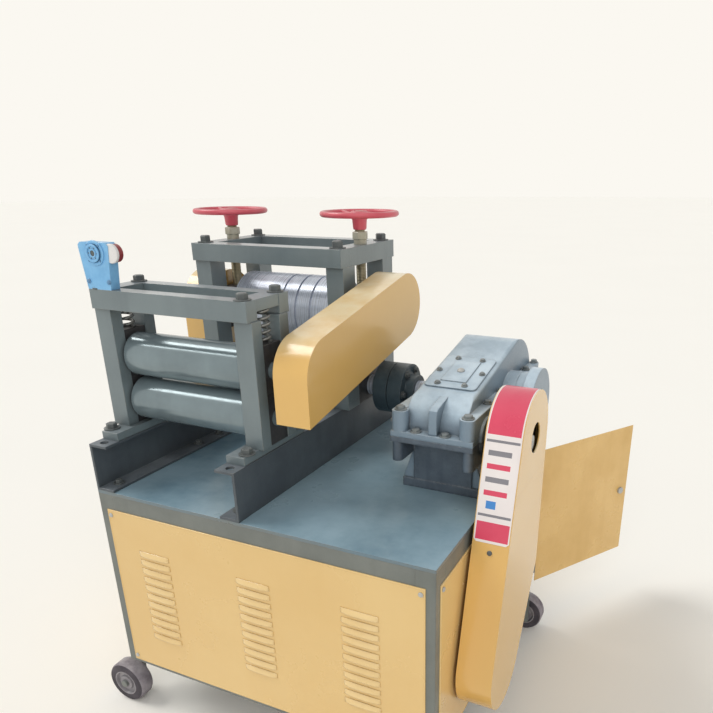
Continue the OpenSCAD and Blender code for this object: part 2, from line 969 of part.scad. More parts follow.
// Room for the shafts that turn in the casing
module shaft_bores() {
    bar_x([reducer_x - flange_w, rear_axis_y, joint_z], bore_r, flange_w);
    bar_x([reducer_x, pulley_y, joint_z], input_bore_r, flange_w);
}

module reducer_base() {
    color("slategray")
        placed()
            difference() {
                union() {
                    slab([reducer_x - foot_w / 2, foot_y, table_z],
                        [reducer_x + foot_w / 2, foot_y + foot_len, table_z + foot_t]);
                    slab([reducer_x - casing_w / 2, flange_y + base_front_in, table_z + foot_t],
                        [reducer_x + casing_w / 2, casing_y1, joint_z]);
                    slab([reducer_x - flange_w / 2, flange_y, joint_z - flange_t],
                        [reducer_x + flange_w / 2, flange_y + flange_len, joint_z]);
                    ledges(joint_z - flange_t - ledge_h);
                    intersection() {
                        bosses();
                        slab([reducer_x - flange_w, flange_y, table_z],
                            [reducer_x + flange_w, flange_y + flange_len, joint_z]);
                    }
                }
                shaft_bores();
            }
}

high_end = [casing_y1 - high_end_r, joint_z + flange_t / 2];
low_end_r = 88;
low_end = [casing_y0 + low_end_r, joint_z + flange_t / 2];

lid_slope = asin((high_end_r - low_end_r) / (high_end[0] - low_end[0]));
lid_at = high_end + high_end_r * [-sin(lid_slope), cos(lid_slope)];
shoulder_r = 10;
skim = 0.2;

// Outline of the cover from the side
module cover_outline() {
    strap(low_end, low_end_r, high_end, high_end_r);
}

// The cover's walls with round shoulders, seen along the sloping top
module shoulder_outline() {
    inner = casing_w / 2 - shoulder_r;
    translate([-inner, -3 * high_end_r])
        square([2 * inner, 3 * high_end_r - skim]);
    translate([-casing_w / 2, -3 * high_end_r])
        square([casing_w, 3 * high_end_r - skim - shoulder_r]);
    for (side = [-1, 1])
        translate([side * inner, -skim - shoulder_r])
            circle(shoulder_r);
}

module reducer_cover() {
    color("slategray")
        placed()
            difference() {
                union() {
                    intersection() {
                        pulled_x(reducer_x - flange_w, 2 * flange_w)
                            cover_outline();
                        translate([reducer_x, lid_at[0], lid_at[1]])
                            rotate([lid_slope, 0, 0])
                                pulled_y(-2 * flange_len, 3 * flange_len)
                                    shoulder_outline();
                        slab([reducer_x - flange_w, flange_y, joint_z],
                            [reducer_x + flange_w, flange_y + flange_len, joint_z + 3 * high_end_r]);
                    }
                    slab([reducer_x - flange_w / 2, flange_y, joint_z],
                        [reducer_x + flange_w / 2, flange_y + flange_len, joint_z + flange_t]);
                    ledges(joint_z + flange_t);
                    for (side = [-1, 1])
                        bar_z([reducer_x + side * (flange_w / 2 - corner_r), flange_y + corner_r, joint_z],
                            corner_r, flange_t + ledge_h);
                    intersection() {
                        bosses();
                        slab([reducer_x - flange_w, flange_y, joint_z],
                            [reducer_x + flange_w, flange_y + flange_len, joint_z + 3 * high_end_r]);
                    }
                }
                shaft_bores();
            }
}

lid_w = 130;
lid_len = 165;
lid_back = 108;
lid_t = 4;
lid_corner_r = 12;
pad_w = 64;
pad_len = 108;
pad_t = 2.5;

module inspection_cover() {
    inner = [lid_w / 2 - lid_corner_r, lid_len / 2 - lid_corner_r];
    color("slategray")
        placed()
            translate([reducer_x, lid_at[0], lid_at[1]])
                rotate([lid_slope, 0, 0])
                    translate([0, -lid_back - lid_len / 2, -skim]) {
                        slab([-inner[0], -lid_len / 2, 0], [inner[0], lid_len / 2, lid_t]);
                        slab([-lid_w / 2, -inner[1], 0], [lid_w / 2, inner[1], lid_t]);
                        for (x = [-inner[0], inner[0]], y = [-inner[1], inner[1]])
                            bar_z([x, y, 0], lid_corner_r, lid_t);
                        slab([-pad_w / 2, -pad_len / 2, lid_t / 2], [pad_w / 2, pad_len / 2, lid_t + pad_t]);
                    }
}

cap_t = 12;
right_cap_x = reducer_x + boss_len / 2;
end_neck_len = 25;
end_cap_r = 99;
end_cap_len = 28;
neck_r = 50;

module bearing_caps() {
    color("slategray")
        placed() {
            for (i = [0, 1])
                bar_x([reducer_x - boss_len / 2 - cap_t, boss_y[i], joint_z], boss_r[i] - cap_t / 2, cap_t);
            bar_x([right_cap_x, boss_y[1], joint_z], boss_r[1] - cap_t / 2, cap_t);
            bar_x([right_cap_x, boss_y[2], joint_z], boss_r[2], end_neck_len);
            bar_x([right_cap_x + end_neck_len, boss_y[2], joint_z], end_cap_r, end_cap_len);
            difference() {
                bar_x([neck_x, boss_y[2], joint_z], neck_r, neck_len);
                bar_x([neck_x - cap_t, boss_y[2], joint_z], bore_r, neck_len + 2 * cap_t);
            }
        }
}

// Belt drive: pulley on the reducer's input shaft and the guard over both pulleys
pulley_r = 88;
pulley_w = 52;
pulley_x = guard_x + shell_t + free_gap;

module input_pulley() {
    color("gray")
        placed() {
            bar_x([pulley_x, pulley_y, joint_z], pulley_r, pulley_w);
            bar_x([pulley_x, pulley_y, joint_z], hub_r, pulley_w + free_gap);
            bar_x([reducer_x + casing_w / 3, pulley_y, joint_z], input_r,
                pulley_x - reducer_x - casing_w / 3);
        }
}

guard_bend_back = 30;
guard_tuck = 0.05;
guard_a = [pulley_y, foot_z + guard_top_z];
guard_b = [motor_y, motor_axis];
guard_c = [pulley_y + guard_bend_back, foot_z + guard_bend_z];
seam_z = foot_z + guard_seam_z;

// Side outline: upper end, lower end and the bend at the rear
module guard_outline(inset) {
    top_r = guard_top_r - inset;
    low_r = guard_low_r - inset;
    bend_r = guard_bend_r - inset;
    in_r = [top_r, low_r, bend_r] - guard_tuck * [1, 1, 1];
    translate(guard_a)
        circle(top_r);
    translate(guard_b)
        circle(low_r);
    translate(guard_c)
        circle(bend_r);
    polygon(concat(outer(guard_a, in_r[0], guard_b, in_r[1]), outer(guard_b, in_r[1], guard_c, in_r[2]),
        outer(guard_c, in_r[2], guard_a, in_r[0])));
}

module guard_shell() {
    difference() {
        pulled_x(guard_x, guard_w)
            guard_outline(0);
        pulled_x(guard_x + shell_t, guard_w - 2 * shell_t)
            guard_outline(shell_t);
        pulled_x(guard_x - shell_t, 3 * shell_t)
            strap([pulley_y, joint_z], input_r + free_gap, guard_b, motor_shaft_r + free_gap);
        bar_x([guard_x + guard_w / 2, pulley_y, foot_z + guard_top_z], guard_hole_d / 2, guard_w);
    }
}

module belt_guard_box() {
    color("goldenrod")
        placed()
            intersection() {
                guard_shell();
                slab([guard_x - guard_w, 0, 0], [guard_x + 2 * guard_w, cabinet_d, seam_z]);
            }
}

module belt_guard_cap() {
    color("goldenrod")
        placed()
            intersection() {
                guard_shell();
                slab([guard_x - guard_w, 0, seam_z], [guard_x + 2 * guard_w, cabinet_d, seam_z + cabinet_h]);
            }
}

// Lugs that hold the chain guard on the stands and the belt guard on the cabinet
lug_h = 30;
front_stand_x = rail_span - front_left_x;

module guard_brackets() {
    front_lug_y = front_col_y[1];
    rear_lug_y = rear_col_y[0];
    front_lug_z = front_high + lug_h;
    rear_lug_z = rear_high + lug_h / 2;
    color("darkslategray")
        placed() {
            slab([front_stand_x, front_lug_y, front_lug_z],
                [chain_x, front_lug_y + front_col_d, front_lug_z + lug_h]);
            slab([rear_stand_x, rear_lug_y, rear_lug_z],
                [chain_x, rear_lug_y + rear_col_d, rear_lug_z + lug_h]);
            for (z = [motor_axis + guard_low_r, motor_axis - guard_low_r / 2])
                slab([cabinet_w + sheet_t, motor_y + 2 * lug_h, z], [guard_x, motor_y + 3 * lug_h, z + lug_h]);
        }
}

// Small blue gear unit on the front stand's left corner
feed_w = 70;
feed_flare = 11;
feed_d = 26;
feed_h = 104;
feed_corner = 7;
feed_ring_out = 6;
feed_x = front_tie_x[0];
feed_y = front_y0;
feed_axis_share = 0.78;
feed_axis = [feed_x + feed_w / 2, feed_y + feed_d, front_top + feed_h * feed_axis_share];
feed_ring_r = 20;
feed_edge_x = feed_x + feed_w + feed_flare * feed_axis_share;
feed_knob_r = 21;
feed_knob_x = feed_edge_x + feed_knob_r / 5;
feed_knob_in = 3;
feed_knob_t = 5;
feed_cap_r = 20;
feed_cap_t = 13;

// Front outline of the housing, wider at the top
module feed_outline(shift_x) {
    left = feed_x - feed_flare + shift_x;
    right = feed_x + feed_w + feed_flare + shift_x;
    polygon([[feed_x + shift_x, front_top], [feed_x + feed_w + shift_x, front_top],
        [right, front_top + feed_h - feed_corner], [right - feed_corner, front_top + feed_h],
        [left + feed_corner, front_top + feed_h], [left, front_top + feed_h - feed_corner]]);
}

module feed_reducer() {
    color("steelblue")
        placed() {
            pulled_y(feed_y, feed_d)
                feed_outline(0);
            bar_y([feed_axis[0], feed_y - feed_ring_out, feed_axis[2]], feed_ring_r, feed_d);
            bar_y([feed_knob_x, feed_y + feed_knob_in, feed_axis[2]], feed_knob_r, feed_knob_t);
        }
}

module feed_reducer_cap() {
    color("firebrick")
        placed()
            difference() {
                bar_y([feed_knob_x, feed_y + feed_knob_in + feed_knob_t, feed_axis[2]], feed_cap_r, feed_cap_t);
                pulled_y(feed_y, feed_d)
                    feed_outline(slide_gap);
            }
}

cabinet_posts();
cabinet_rails();
table_plate();
front_panel();
left_panel();
right_panel();
back_panel();
back_door();
door_lock();
door_hinges();
motor();
motor_rails();
axle_brackets();
front_left_wheel();
front_right_wheel();
rear_left_wheel();
rear_right_wheel();
left_channel();
right_channel();
stand_bases();
front_columns();
front_ties();
front_side_bars();
front_lower_chocks();
front_upper_chocks();
front_springs();
front_lower_roll();
front_upper_roll();
rear_columns();
rear_ties();
rear_side_beams();
rear_lower_chocks();
rear_upper_chocks();
rear_lower_roll();
rear_upper_roll();
left_screw();
right_screw();
left_handwheel();
right_handwheel();
screw_nuts();
gear_guard();
chain_guard();
reducer_base();
reducer_cover();
inspection_cover();
bearing_caps();
shaft_coupling();
input_pulley();
belt_guard_box();
belt_guard_cap();
guard_brackets();
feed_reducer();
feed_reducer_cap();
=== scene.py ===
import math

import bmesh
import bpy
from mathutils import Matrix, Vector


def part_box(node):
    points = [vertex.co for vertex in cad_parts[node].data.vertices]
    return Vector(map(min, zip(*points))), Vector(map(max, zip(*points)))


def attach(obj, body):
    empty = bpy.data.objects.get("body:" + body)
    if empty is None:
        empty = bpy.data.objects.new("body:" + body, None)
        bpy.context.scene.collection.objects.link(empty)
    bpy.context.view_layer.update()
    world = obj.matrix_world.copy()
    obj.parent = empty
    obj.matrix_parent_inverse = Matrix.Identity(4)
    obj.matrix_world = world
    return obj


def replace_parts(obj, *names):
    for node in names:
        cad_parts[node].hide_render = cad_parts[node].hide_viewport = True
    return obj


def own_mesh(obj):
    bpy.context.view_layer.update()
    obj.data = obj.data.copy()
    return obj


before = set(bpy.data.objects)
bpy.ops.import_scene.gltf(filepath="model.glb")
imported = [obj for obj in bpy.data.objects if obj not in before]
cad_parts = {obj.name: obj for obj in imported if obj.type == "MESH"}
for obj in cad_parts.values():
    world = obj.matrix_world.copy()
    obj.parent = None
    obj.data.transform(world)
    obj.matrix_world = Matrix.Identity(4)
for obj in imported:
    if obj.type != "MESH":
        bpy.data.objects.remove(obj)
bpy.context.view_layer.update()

# Stage: a pale studio floor under a soft lamp from the left above and a weaker one from the right
# front, seen from the front right and a little above, as the machine stood when it was pictured.


def into_scene(name, data):
    """A new object with this data, linked into the scene."""
    made = bpy.data.objects.new(name, data)
    bpy.context.scene.collection.objects.link(made)
    return made


camera = into_scene("camera", bpy.data.cameras.new("camera"))
camera.data.lens = 34.328
camera.data.sensor_width = 36
camera.data.shift_x = -0.08342
camera.data.shift_y = 0.12620
camera.data.clip_end = 100
eye = Matrix.Translation((0.8349, -1.6117, 1.3806))
heading, tilt, lean = math.radians(24.42), math.radians(67.95), math.radians(-0.196)
camera.matrix_world = (eye @ Matrix.Rotation(heading, 4, "Z") @ Matrix.Rotation(tilt, 4, "X")
                       @ Matrix.Rotation(lean, 4, "Z"))
bpy.context.scene.camera = camera
bpy.context.scene.view_settings.view_transform = "Standard"


def linear(red, green, blue):
    """A colour as written for a screen, 0 to 255, as the linear colour that a shader takes."""
    shares = [c / 255 for c in (red, green, blue)]
    return tuple(c / 12.92 if c <= 0.04045 else ((c + 0.055) / 1.055) ** 2.4 for c in shares) + (1.0,)


def put(tree, kind, values=None, **settings):
    """A new node: values are sockets to link from or plain numbers, settings are the node's choices."""
    node = tree.nodes.new(kind)
    for key, value in settings.items():
        setattr(node, key, value)
    for key, value in (values or {}).items():
        if isinstance(value, bpy.types.NodeSocket):
            tree.links.new(value, node.inputs[key])
        else:
            node.inputs[key].default_value = value
    return node


def mixed(tree, share, one, other):
    """One colour turning into another where the share rises."""
    return put(tree, "ShaderNodeMix", {"Factor": share, "A": one, "B": other}, data_type="RGBA").outputs["Result"]


def blank_material(name):
    """A material with only its shader and output, and the tree to add to."""
    material = bpy.data.materials.new(name)
    material.use_nodes = True
    tree = material.node_tree
    tree.nodes.clear()
    shader = put(tree, "ShaderNodeBsdfPrincipled")
    put(tree, "ShaderNodeOutputMaterial", {"Surface": shader.outputs["BSDF"]})
    return material, tree, shader


world = bpy.data.worlds.new("studio")
bpy.context.scene.world = world
world.use_nodes = True
tree = world.node_tree
tree.nodes.clear()
ray = put(tree, "ShaderNodeLightPath").outputs
seen = put(tree, "ShaderNodeMath", {0: ray["Is Camera Ray"], 1: ray["Is Glossy Ray"]}, operation="MAXIMUM")
seen = put(tree, "ShaderNodeMath", {0: seen.outputs[0], 1: ray["Is Transmission Ray"]}, operation="MAXIMUM")
fill = put(tree, "ShaderNodeBackground", {"Color": linear(246, 248, 250), "Strength": 0.52})
plain = put(tree, "ShaderNodeBackground", {"Color": linear(251, 248, 241), "Strength": 1.0})
sky = put(tree, "ShaderNodeMixShader", {0: seen.outputs[0], 1: fill.outputs[0], 2: plain.outputs[0]})
put(tree, "ShaderNodeOutputWorld", {"Surface": sky.outputs[0]})

lamp_colour = (1.0, 0.985, 0.95)
for name, energy, softness, shine in (("left_lamp", 1.4, 30, (0.66, 0.12, -0.74)),
                                      ("right_lamp", 0.9, 60, (-0.42, 0.76, -0.5))):
    lamp = into_scene(name, bpy.data.lights.new(name, "SUN"))
    lamp.data.energy = energy
    lamp.data.angle = math.radians(softness)
    lamp.data.color = lamp_colour
    lamp.rotation_euler = Vector(shine).to_track_quat("-Z", "Y").to_euler()


def turns_of(count, ahead=0.0):
    """Angles that share out a full turn, the first one ahead by a share of a step."""
    return [math.tau * (k + ahead) / count for k in range(count)]


floor_radius, floor_sides, floor_drop = 40, 64, 0.0005
floor_mesh = bpy.data.meshes.new("studio_floor")
floor_mesh.from_pydata([(floor_radius * math.cos(turn), floor_radius * math.sin(turn), -floor_drop)
                        for turn in turns_of(floor_sides)], [], [range(floor_sides)])
studio_floor = into_scene("studio_floor", floor_mesh)
floor_paint, tree, shader = blank_material("floor_paint")
place = put(tree, "ShaderNodeTexCoord").outputs["Object"]
cloud = put(tree, "ShaderNodeTexNoise", {"Vector": place, "Scale": 0.8, "Detail": 3.0})
floor_tone = mixed(tree, cloud.outputs["Fac"], linear(255, 252, 245), linear(252, 249, 242))
tree.links.new(floor_tone, shader.inputs["Base Color"])
shader.inputs["Roughness"].default_value = 0.85
shader.inputs["Specular IOR Level"].default_value = 0.1
floor_mesh.materials.append(floor_paint)

# Cabinet frame: square steel posts and rails welded together, brushed with grey-green machine
# enamel that is rubbed to bare steel along the corners and dusty on top.
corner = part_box("table_plate")[0]


def at(x, y, z):
    """A point in millimetres from the cabinet's front left corner and the floor."""
    return Vector((corner.x + x / 1000, corner.y + y / 1000, z / 1000))


def effect(name, inputs, outputs):
    """A shader node group with named number inputs, and its input and output sockets."""
    tree = bpy.data.node_groups.new(name, "ShaderNodeTree")
    for label, value in inputs:
        socket = tree.interface.new_socket(label, in_out="INPUT", socket_type="NodeSocketFloat")
        socket.default_value = value
    for label, kind in outputs:
        tree.interface.new_socket(label, in_out="OUTPUT", socket_type=kind)
    return tree, put(tree, "NodeGroupInput").outputs, put(tree, "NodeGroupOutput").inputs


def spread(tree, value, low, high, to_low=0.0, to_high=1.0):
    """A value's range from low to high, stretched to another range and cut off there."""
    return put(tree, "ShaderNodeMapRange", {"Value": value, "From Min": low, "From Max": high, "To Min": to_low,
                                            "To Max": to_high}).outputs[0]


def times(tree, one, other):
    """Two values multiplied."""
    return put(tree, "ShaderNodeMath", {0: one, 1: other}, operation="MULTIPLY").outputs[0]


# Worn edges: paint chipped off along corners. An edge is where a rounded corner's normal would turn
# away from the flat face's, and a noise breaks it up into chips.
flat_face, sharp_edge = 0.985, 0.85
worn_edges, given, result = effect("worn_edges", [("Width", 0.003), ("Amount", 0.6), ("Chips", 70.0)],
                                   [("Mask", "NodeSocketFloat"), ("Normal", "NodeSocketVector")])
rounded = put(worn_edges, "ShaderNodeBevel", {"Radius": given["Width"]}, samples=6)
surface = put(worn_edges, "ShaderNodeNewGeometry")
along = put(worn_edges, "ShaderNodeVectorMath", {0: rounded.outputs[0], 1: surface.outputs["Normal"]},
            operation="DOT_PRODUCT")
place = put(worn_edges, "ShaderNodeTexCoord").outputs["Object"]
chips = put(worn_edges, "ShaderNodeTexNoise", {"Vector": place, "Scale": given["Chips"], "Detail": 4.0,
                                               "Roughness": 0.65})
rubbed = spread(worn_edges, along.outputs["Value"], flat_face, sharp_edge)
chipped = times(worn_edges, rubbed, spread(worn_edges, chips.outputs["Fac"], 0.47, 0.62))
worn_edges.links.new(times(worn_edges, chipped, given["Amount"]), result["Mask"])
worn_edges.links.new(rounded.outputs[0], result["Normal"])

# Shop dirt and painted light: uneven tone, runs down the sides, dust lying on top that in some finishes is also a
# painted sheen, painted shade darkening the nooks by ambient occlusion, and the grain of the coat. Level is 1 on
# faces that look up.
nook_reach, run_length = 0.06, 0.07
shop_dirt, given, result = effect(
    "shop_dirt", [("Scale", 6.0), ("Uneven", 0.6), ("Runs", 0.3), ("DustAndSheenShare", 0.3), ("Grain", 300.0), ("NookShade", 0.5)],
    [(label, "NodeSocketFloat") for label in ("Uneven", "Runs", "DustAndSheen", "Grain", "NookShade", "Level")])
place = put(shop_dirt, "ShaderNodeTexCoord").outputs["Object"]
cloud = put(shop_dirt, "ShaderNodeTexNoise", {"Vector": place, "Scale": given["Scale"], "Detail": 6.0,
                                              "Roughness": 0.62}).outputs["Fac"]
drawn = put(shop_dirt, "ShaderNodeMapping", {"Vector": place, "Scale": (1.0, 1.0, run_length)}).outputs[0]
run = put(shop_dirt, "ShaderNodeTexNoise", {"Vector": drawn, "Scale": times(shop_dirt, given["Scale"], 5.0),
                                            "Detail": 4.0}).outputs["Fac"]
normal = put(shop_dirt, "ShaderNodeNewGeometry").outputs["Normal"]
facing = put(shop_dirt, "ShaderNodeSeparateXYZ", {0: normal}).outputs["Z"]
grain = put(shop_dirt, "ShaderNodeTexNoise", {"Vector": place, "Scale": given["Grain"], "Detail": 3.0,
                                              "Roughness": 0.55}).outputs["Fac"]
# Ambient occlusion, broken up by the cloud, darkens the nooks as painted shade.
nook = put(shop_dirt, "ShaderNodeAmbientOcclusion", {"Distance": nook_reach}, samples=6).outputs["AO"]
# A pale layer on faces that look up: dust, and in some finishes a painted sheen of the sky.
top_dust_and_sheen = times(shop_dirt, spread(shop_dirt, facing, 0.55, 0.98), spread(shop_dirt, cloud, 0.7, 0.35))
nook_shade_mask = times(shop_dirt, spread(shop_dirt, nook, 0.75, 0.15), spread(shop_dirt, cloud, 0.2, 0.6))
for label, mask, amount in (("Uneven", spread(shop_dirt, cloud, 0.36, 0.66), "Uneven"),
                            ("Runs", spread(shop_dirt, run, 0.5, 0.78), "Runs"),
                            ("DustAndSheen", top_dust_and_sheen, "DustAndSheenShare"), ("NookShade", nook_shade_mask, "NookShade")):
    shop_dirt.links.new(times(shop_dirt, mask, given[amount]), result[label])
shop_dirt.links.new(spread(shop_dirt, facing, 0.3, 0.6), result["Level"])
shop_dirt.links.new(grain, result["Grain"])


def enamel(name, colour, shade, bare=(118, 116, 112), dust_and_sheen=(160, 161, 160), wear=0.7, runs=0.3, dust_and_sheen_share=0.3,
           uneven=0.6, scale=6.0, gloss=0.42, grain=320.0, skin=0.12, width=0.0025, coat=0.0, nook_shade=0.5,
           nook_shade_colour=(44, 44, 46), edge=None):
    """Paint over steel: its colour, its deeper shade and maybe another tone on upright faces, with worn edges, runs,
    a pale layer on top that is dust and in some finishes painted sheen, painted shade in the nooks and a fine skin."""
    material, tree, shader = blank_material(name)
    edges = put(tree, "ShaderNodeGroup", {"Width": width, "Amount": wear}, node_tree=worn_edges).outputs
    dirt = put(tree, "ShaderNodeGroup", {"Scale": scale, "Uneven": uneven, "Runs": runs, "DustAndSheenShare": dust_and_sheen_share,
                                         "Grain": grain, "NookShade": nook_shade}, node_tree=shop_dirt).outputs
    tone = linear(*colour)
    if edge:
        tone = mixed(tree, dirt["Level"], linear(*edge), tone)
    for mask, other in ((dirt["Uneven"], shade), (dirt["Runs"], shade), (dirt["DustAndSheen"], dust_and_sheen),
                        (dirt["NookShade"], nook_shade_colour), (edges["Mask"], bare)):
        tone = mixed(tree, mask, tone, linear(*other))
    tree.links.new(tone, shader.inputs["Base Color"])
    tree.links.new(spread(tree, dirt["Uneven"], 0.0, 1.0, gloss - 0.06, gloss + 0.22), shader.inputs["Roughness"])
    tree.links.new(times(tree, edges["Mask"], 0.8), shader.inputs["Metallic"])
    bump = put(tree, "ShaderNodeBump", {"Strength": skin, "Distance": 0.002, "Height": dirt["Grain"],
                                        "Normal": edges["Normal"]})
    tree.links.new(bump.outputs[0], shader.inputs["Normal"])
    shader.inputs["Coat Weight"].default_value = coat
    shader.inputs["Coat Roughness"].default_value = 0.12
    return material


def coat_nodes(material, *names):
    """Gives the frame's own nodes a finish and leaves their shapes as they are."""
    for name in names:
        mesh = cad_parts[name].data
        mesh.materials.clear()
        mesh.materials.append(material)


green_enamel = enamel("grey_green_enamel", (118, 122, 117), (92, 97, 94), gloss=0.4, coat=0.15)
coat_nodes(green_enamel, "cabinet_posts", "cabinet_rails", "motor_rails", "axle_brackets")

# Table: a thick steel plate laid on the frame and welded to it, blue-grey on faces that look up and grey-green like
# the frame on its upright edge faces; scuffed and uneven where parts were slid over it.
table_enamel = enamel("blue_grey_enamel", (140, 171, 186), (98, 128, 145), dust_and_sheen=(168, 188, 197), dust_and_sheen_share=0.4,
                      uneven=0.8, scale=4.0, gloss=0.32, coat=0.25, edge=(112, 118, 116))
coat_nodes(table_enamel, "table_plate")

# Panels: folded sheet steel sprayed ochre yellow, screwed to the frame at the corners; the front
# one has three columns of pressed louvres with hoods that stand out over the slots.
yellow_enamel = enamel("ochre_enamel", (229, 195, 132), (220, 181, 114), bare=(150, 134, 104),
                       dust_and_sheen=(222, 204, 160), wear=0.4, runs=0.12, dust_and_sheen_share=0.2, uneven=0.5, scale=3.0, gloss=0.27,
                       skin=0.04, width=0.0008, coat=0.35, nook_shade=0.25, nook_shade_colour=(120, 88, 46))
# The hoods get a slightly lighter copy of the panel's yellow, a painted highlight where they catch the light.
louvre_highlight_enamel = enamel("louvre_highlight_enamel", (234, 203, 144), (222, 186, 121), bare=(200, 178, 136), wear=0.2,
                       runs=0.05, dust_and_sheen_share=0.2, uneven=0.5, scale=9.0, gloss=0.25, skin=0.03, width=0.0006, coat=0.6,
                       nook_shade=0.0)
zinc = enamel("zinc_plate", (190, 190, 186), (150, 150, 148), bare=(206, 204, 198), wear=0.4, runs=0.0, dust_and_sheen_share=0.2,
              scale=25.0, gloss=0.3, grain=600.0, skin=0.06, width=0.001)
coat_nodes(yellow_enamel, "front_panel", "left_panel", "right_panel", "back_panel")
to_front, to_back, to_left, to_right, to_top = (0, -1, 0), (0, 1, 0), (-1, 0, 0), (1, 0, 0), (0, 0, 1)


def piece(name, bm, material, body, flat=35):
    """An object from the mesh that rides its body; edges over so many degrees stay sharp."""
    bmesh.ops.recalc_face_normals(bm, faces=bm.faces)
    mesh = bpy.data.meshes.new(name)
    bm.to_mesh(mesh)
    bm.free()
    mesh.materials.append(material)
    mesh.shade_smooth()
    mesh.set_sharp_from_angle(angle=math.radians(flat))
    made = into_scene(name, mesh)
    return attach(made, body)


def span_rows(bm, rows, steps, closed=False):
    """Faces between neighbouring rows of points; a row of one point is the end of a round form."""
    made = []
    for low, high in list(zip(rows, rows[1:])) + ([(rows[-1], rows[0])] if closed else []):
        for k in range(steps):
            loop = [low[k % len(low)], low[(k + 1) % len(low)], high[(k + 1) % len(high)], high[k % len(high)]]
            loop = [v for i, v in enumerate(loop) if v not in loop[:i]]
            if len(loop) > 2:
                made.append(bm.faces.new(loop))
    return made


def turned(bm, profile, centre, axis, steps=40, closed=False, start=0.0):
    """A turned form: pairs of length and radius swept round an axis."""
    axis = Vector(axis).normalized()
    side = axis.orthogonal().normalized()
    other = axis.cross(side)
    rings = []
    for length, radius in profile:
        middle = centre + axis * length
        if radius < 1e-6:
            rings.append([bm.verts.new(middle)])
        else:
            rings.append([bm.verts.new(middle + radius * (math.cos(start + turn) * side
                                                          + math.sin(start + turn) * other))
                          for turn in turns_of(steps)])
    span_rows(bm, rings, steps, closed)


hood_len, hood_h, hood_out, hood_sheet, hood_gap = 0.092, 0.0130, 0.0046, 0.0012, 0.0002
hood_square, hood_curl = 4, 1.4
hood_columns, hood_rows, hood_top, hood_pitch = (153, 446.4, 724.5), 11, 513.2, 24.5
down_steps, across_steps = 6, 16
face_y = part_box("front_panel")[0].y - hood_gap
bm = bmesh.new()
for x in hood_columns:
    for row in range(hood_rows):
        top = at(x, 0, hood_top - hood_pitch * row)
        grid = []
        for down in [j / down_steps for j in range(down_steps + 1)]:
            line = []
            for across in [2 * i / across_steps - 1 for i in range(across_steps + 1)]:
                bulge = (1 - abs(across) ** hood_square) * math.sin(down * math.pi / 2) ** hood_curl
                line.append(bm.verts.new((top.x + across * hood_len / 2, face_y - hood_out * bulge,
                                          top.z - down * hood_h)))
            grid.append(line)
        span_rows(bm, grid[::-1], across_steps)
hoods = piece("louvre_hoods", bm, louvre_highlight_enamel, "machine", flat=60)
thick = hoods.modifiers.new("sheet", "SOLIDIFY")
thick.thickness = hood_sheet
thick.offset = 1.0


def rod(bm, path, radius, sides=10, closed=False):
    """A round bar bent along a path."""
    rings = []
    count = len(path)
    up = None
    for i, p in enumerate(path):
        ahead = path[(i + 1) % count] if closed or i + 1 < count else p
        behind = path[i - 1] if closed or i > 0 else p
        way = (ahead - behind).normalized()
        up = way.orthogonal().normalized() if up is None else (up - way * up.dot(way)).normalized()
        other = way.cross(up)
        rings.append([bm.verts.new(p + radius * (math.cos(turn) * up + math.sin(turn) * other))
                      for turn in turns_of(sides)])
    span_rows(bm, rings, sides, closed)
    if not closed:
        bm.faces.new(rings[0])
        bm.faces.new(rings[-1])


fold_inset, fold_round, fold_radius, round_steps = 0.006, 0.004, 0.0022, 4
bm = bmesh.new()
for node, wide_axis in (("front_panel", 0), ("right_panel", 1), ("left_panel", 1)):
    low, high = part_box(node)
    middle = (low + high) / 2
    half_wide, half_high = (high[wide_axis] - low[wide_axis]) / 2, (high.z - low.z) / 2
    path = []
    for quarter, (sx, sz) in enumerate(((1, 1), (-1, 1), (-1, -1), (1, -1))):
        for k in range(round_steps + 1):
            turn = math.pi / 2 * (quarter + k / round_steps)
            point = Vector(middle)
            point[wide_axis] += sx * (half_wide - fold_inset) + fold_round * math.cos(turn)
            point.z += sz * (half_high - fold_inset) + fold_round * math.sin(turn)
            path.append(point)
    rod(bm, path, fold_radius, sides=8, closed=True)
piece("panel_folds", bm, yellow_enamel, "machine", flat=60)

screw_head = [(0, 0), (0, 0.0058), (0.0012, 0.0058), (0.0032, 0.004), (0.0036, 0)]
screw_sides, screw_high, screw_low, panel_sheet, cabinet_w = 16, 596, 172, 2, 900
bm = bmesh.new()
for z in (screw_high, screw_low):
    for x in (32, 868):
        turned(bm, screw_head, at(x, -panel_sheet, z), to_front, screw_sides)
for z in (screw_high, screw_low):
    for y in (34, 760):
        turned(bm, screw_head, at(cabinet_w + panel_sheet, y, z), to_right, screw_sides)
        turned(bm, screw_head, at(-panel_sheet, y, z), to_left, screw_sides)
piece("panel_screws", bm, zinc, "machine")

# Back door: one folded sheet sprayed like the panels and a little scratched, with a small round cam
# lock near its free edge, hung on two barrel hinges that are welded to the post.
door_enamel = enamel("door_enamel", (230, 191, 122), (208, 166, 92), bare=(236, 214, 168), dust_and_sheen=(232, 210, 164),
                     wear=0.4, runs=0.35, uneven=0.7, scale=5.0, gloss=0.3, skin=0.04, width=0.0008, coat=0.3,
                     nook_shade=0.1)
coat_nodes(door_enamel, "back_door")
coat_nodes(zinc, "door_lock")
coat_nodes(green_enamel, "door_hinges")

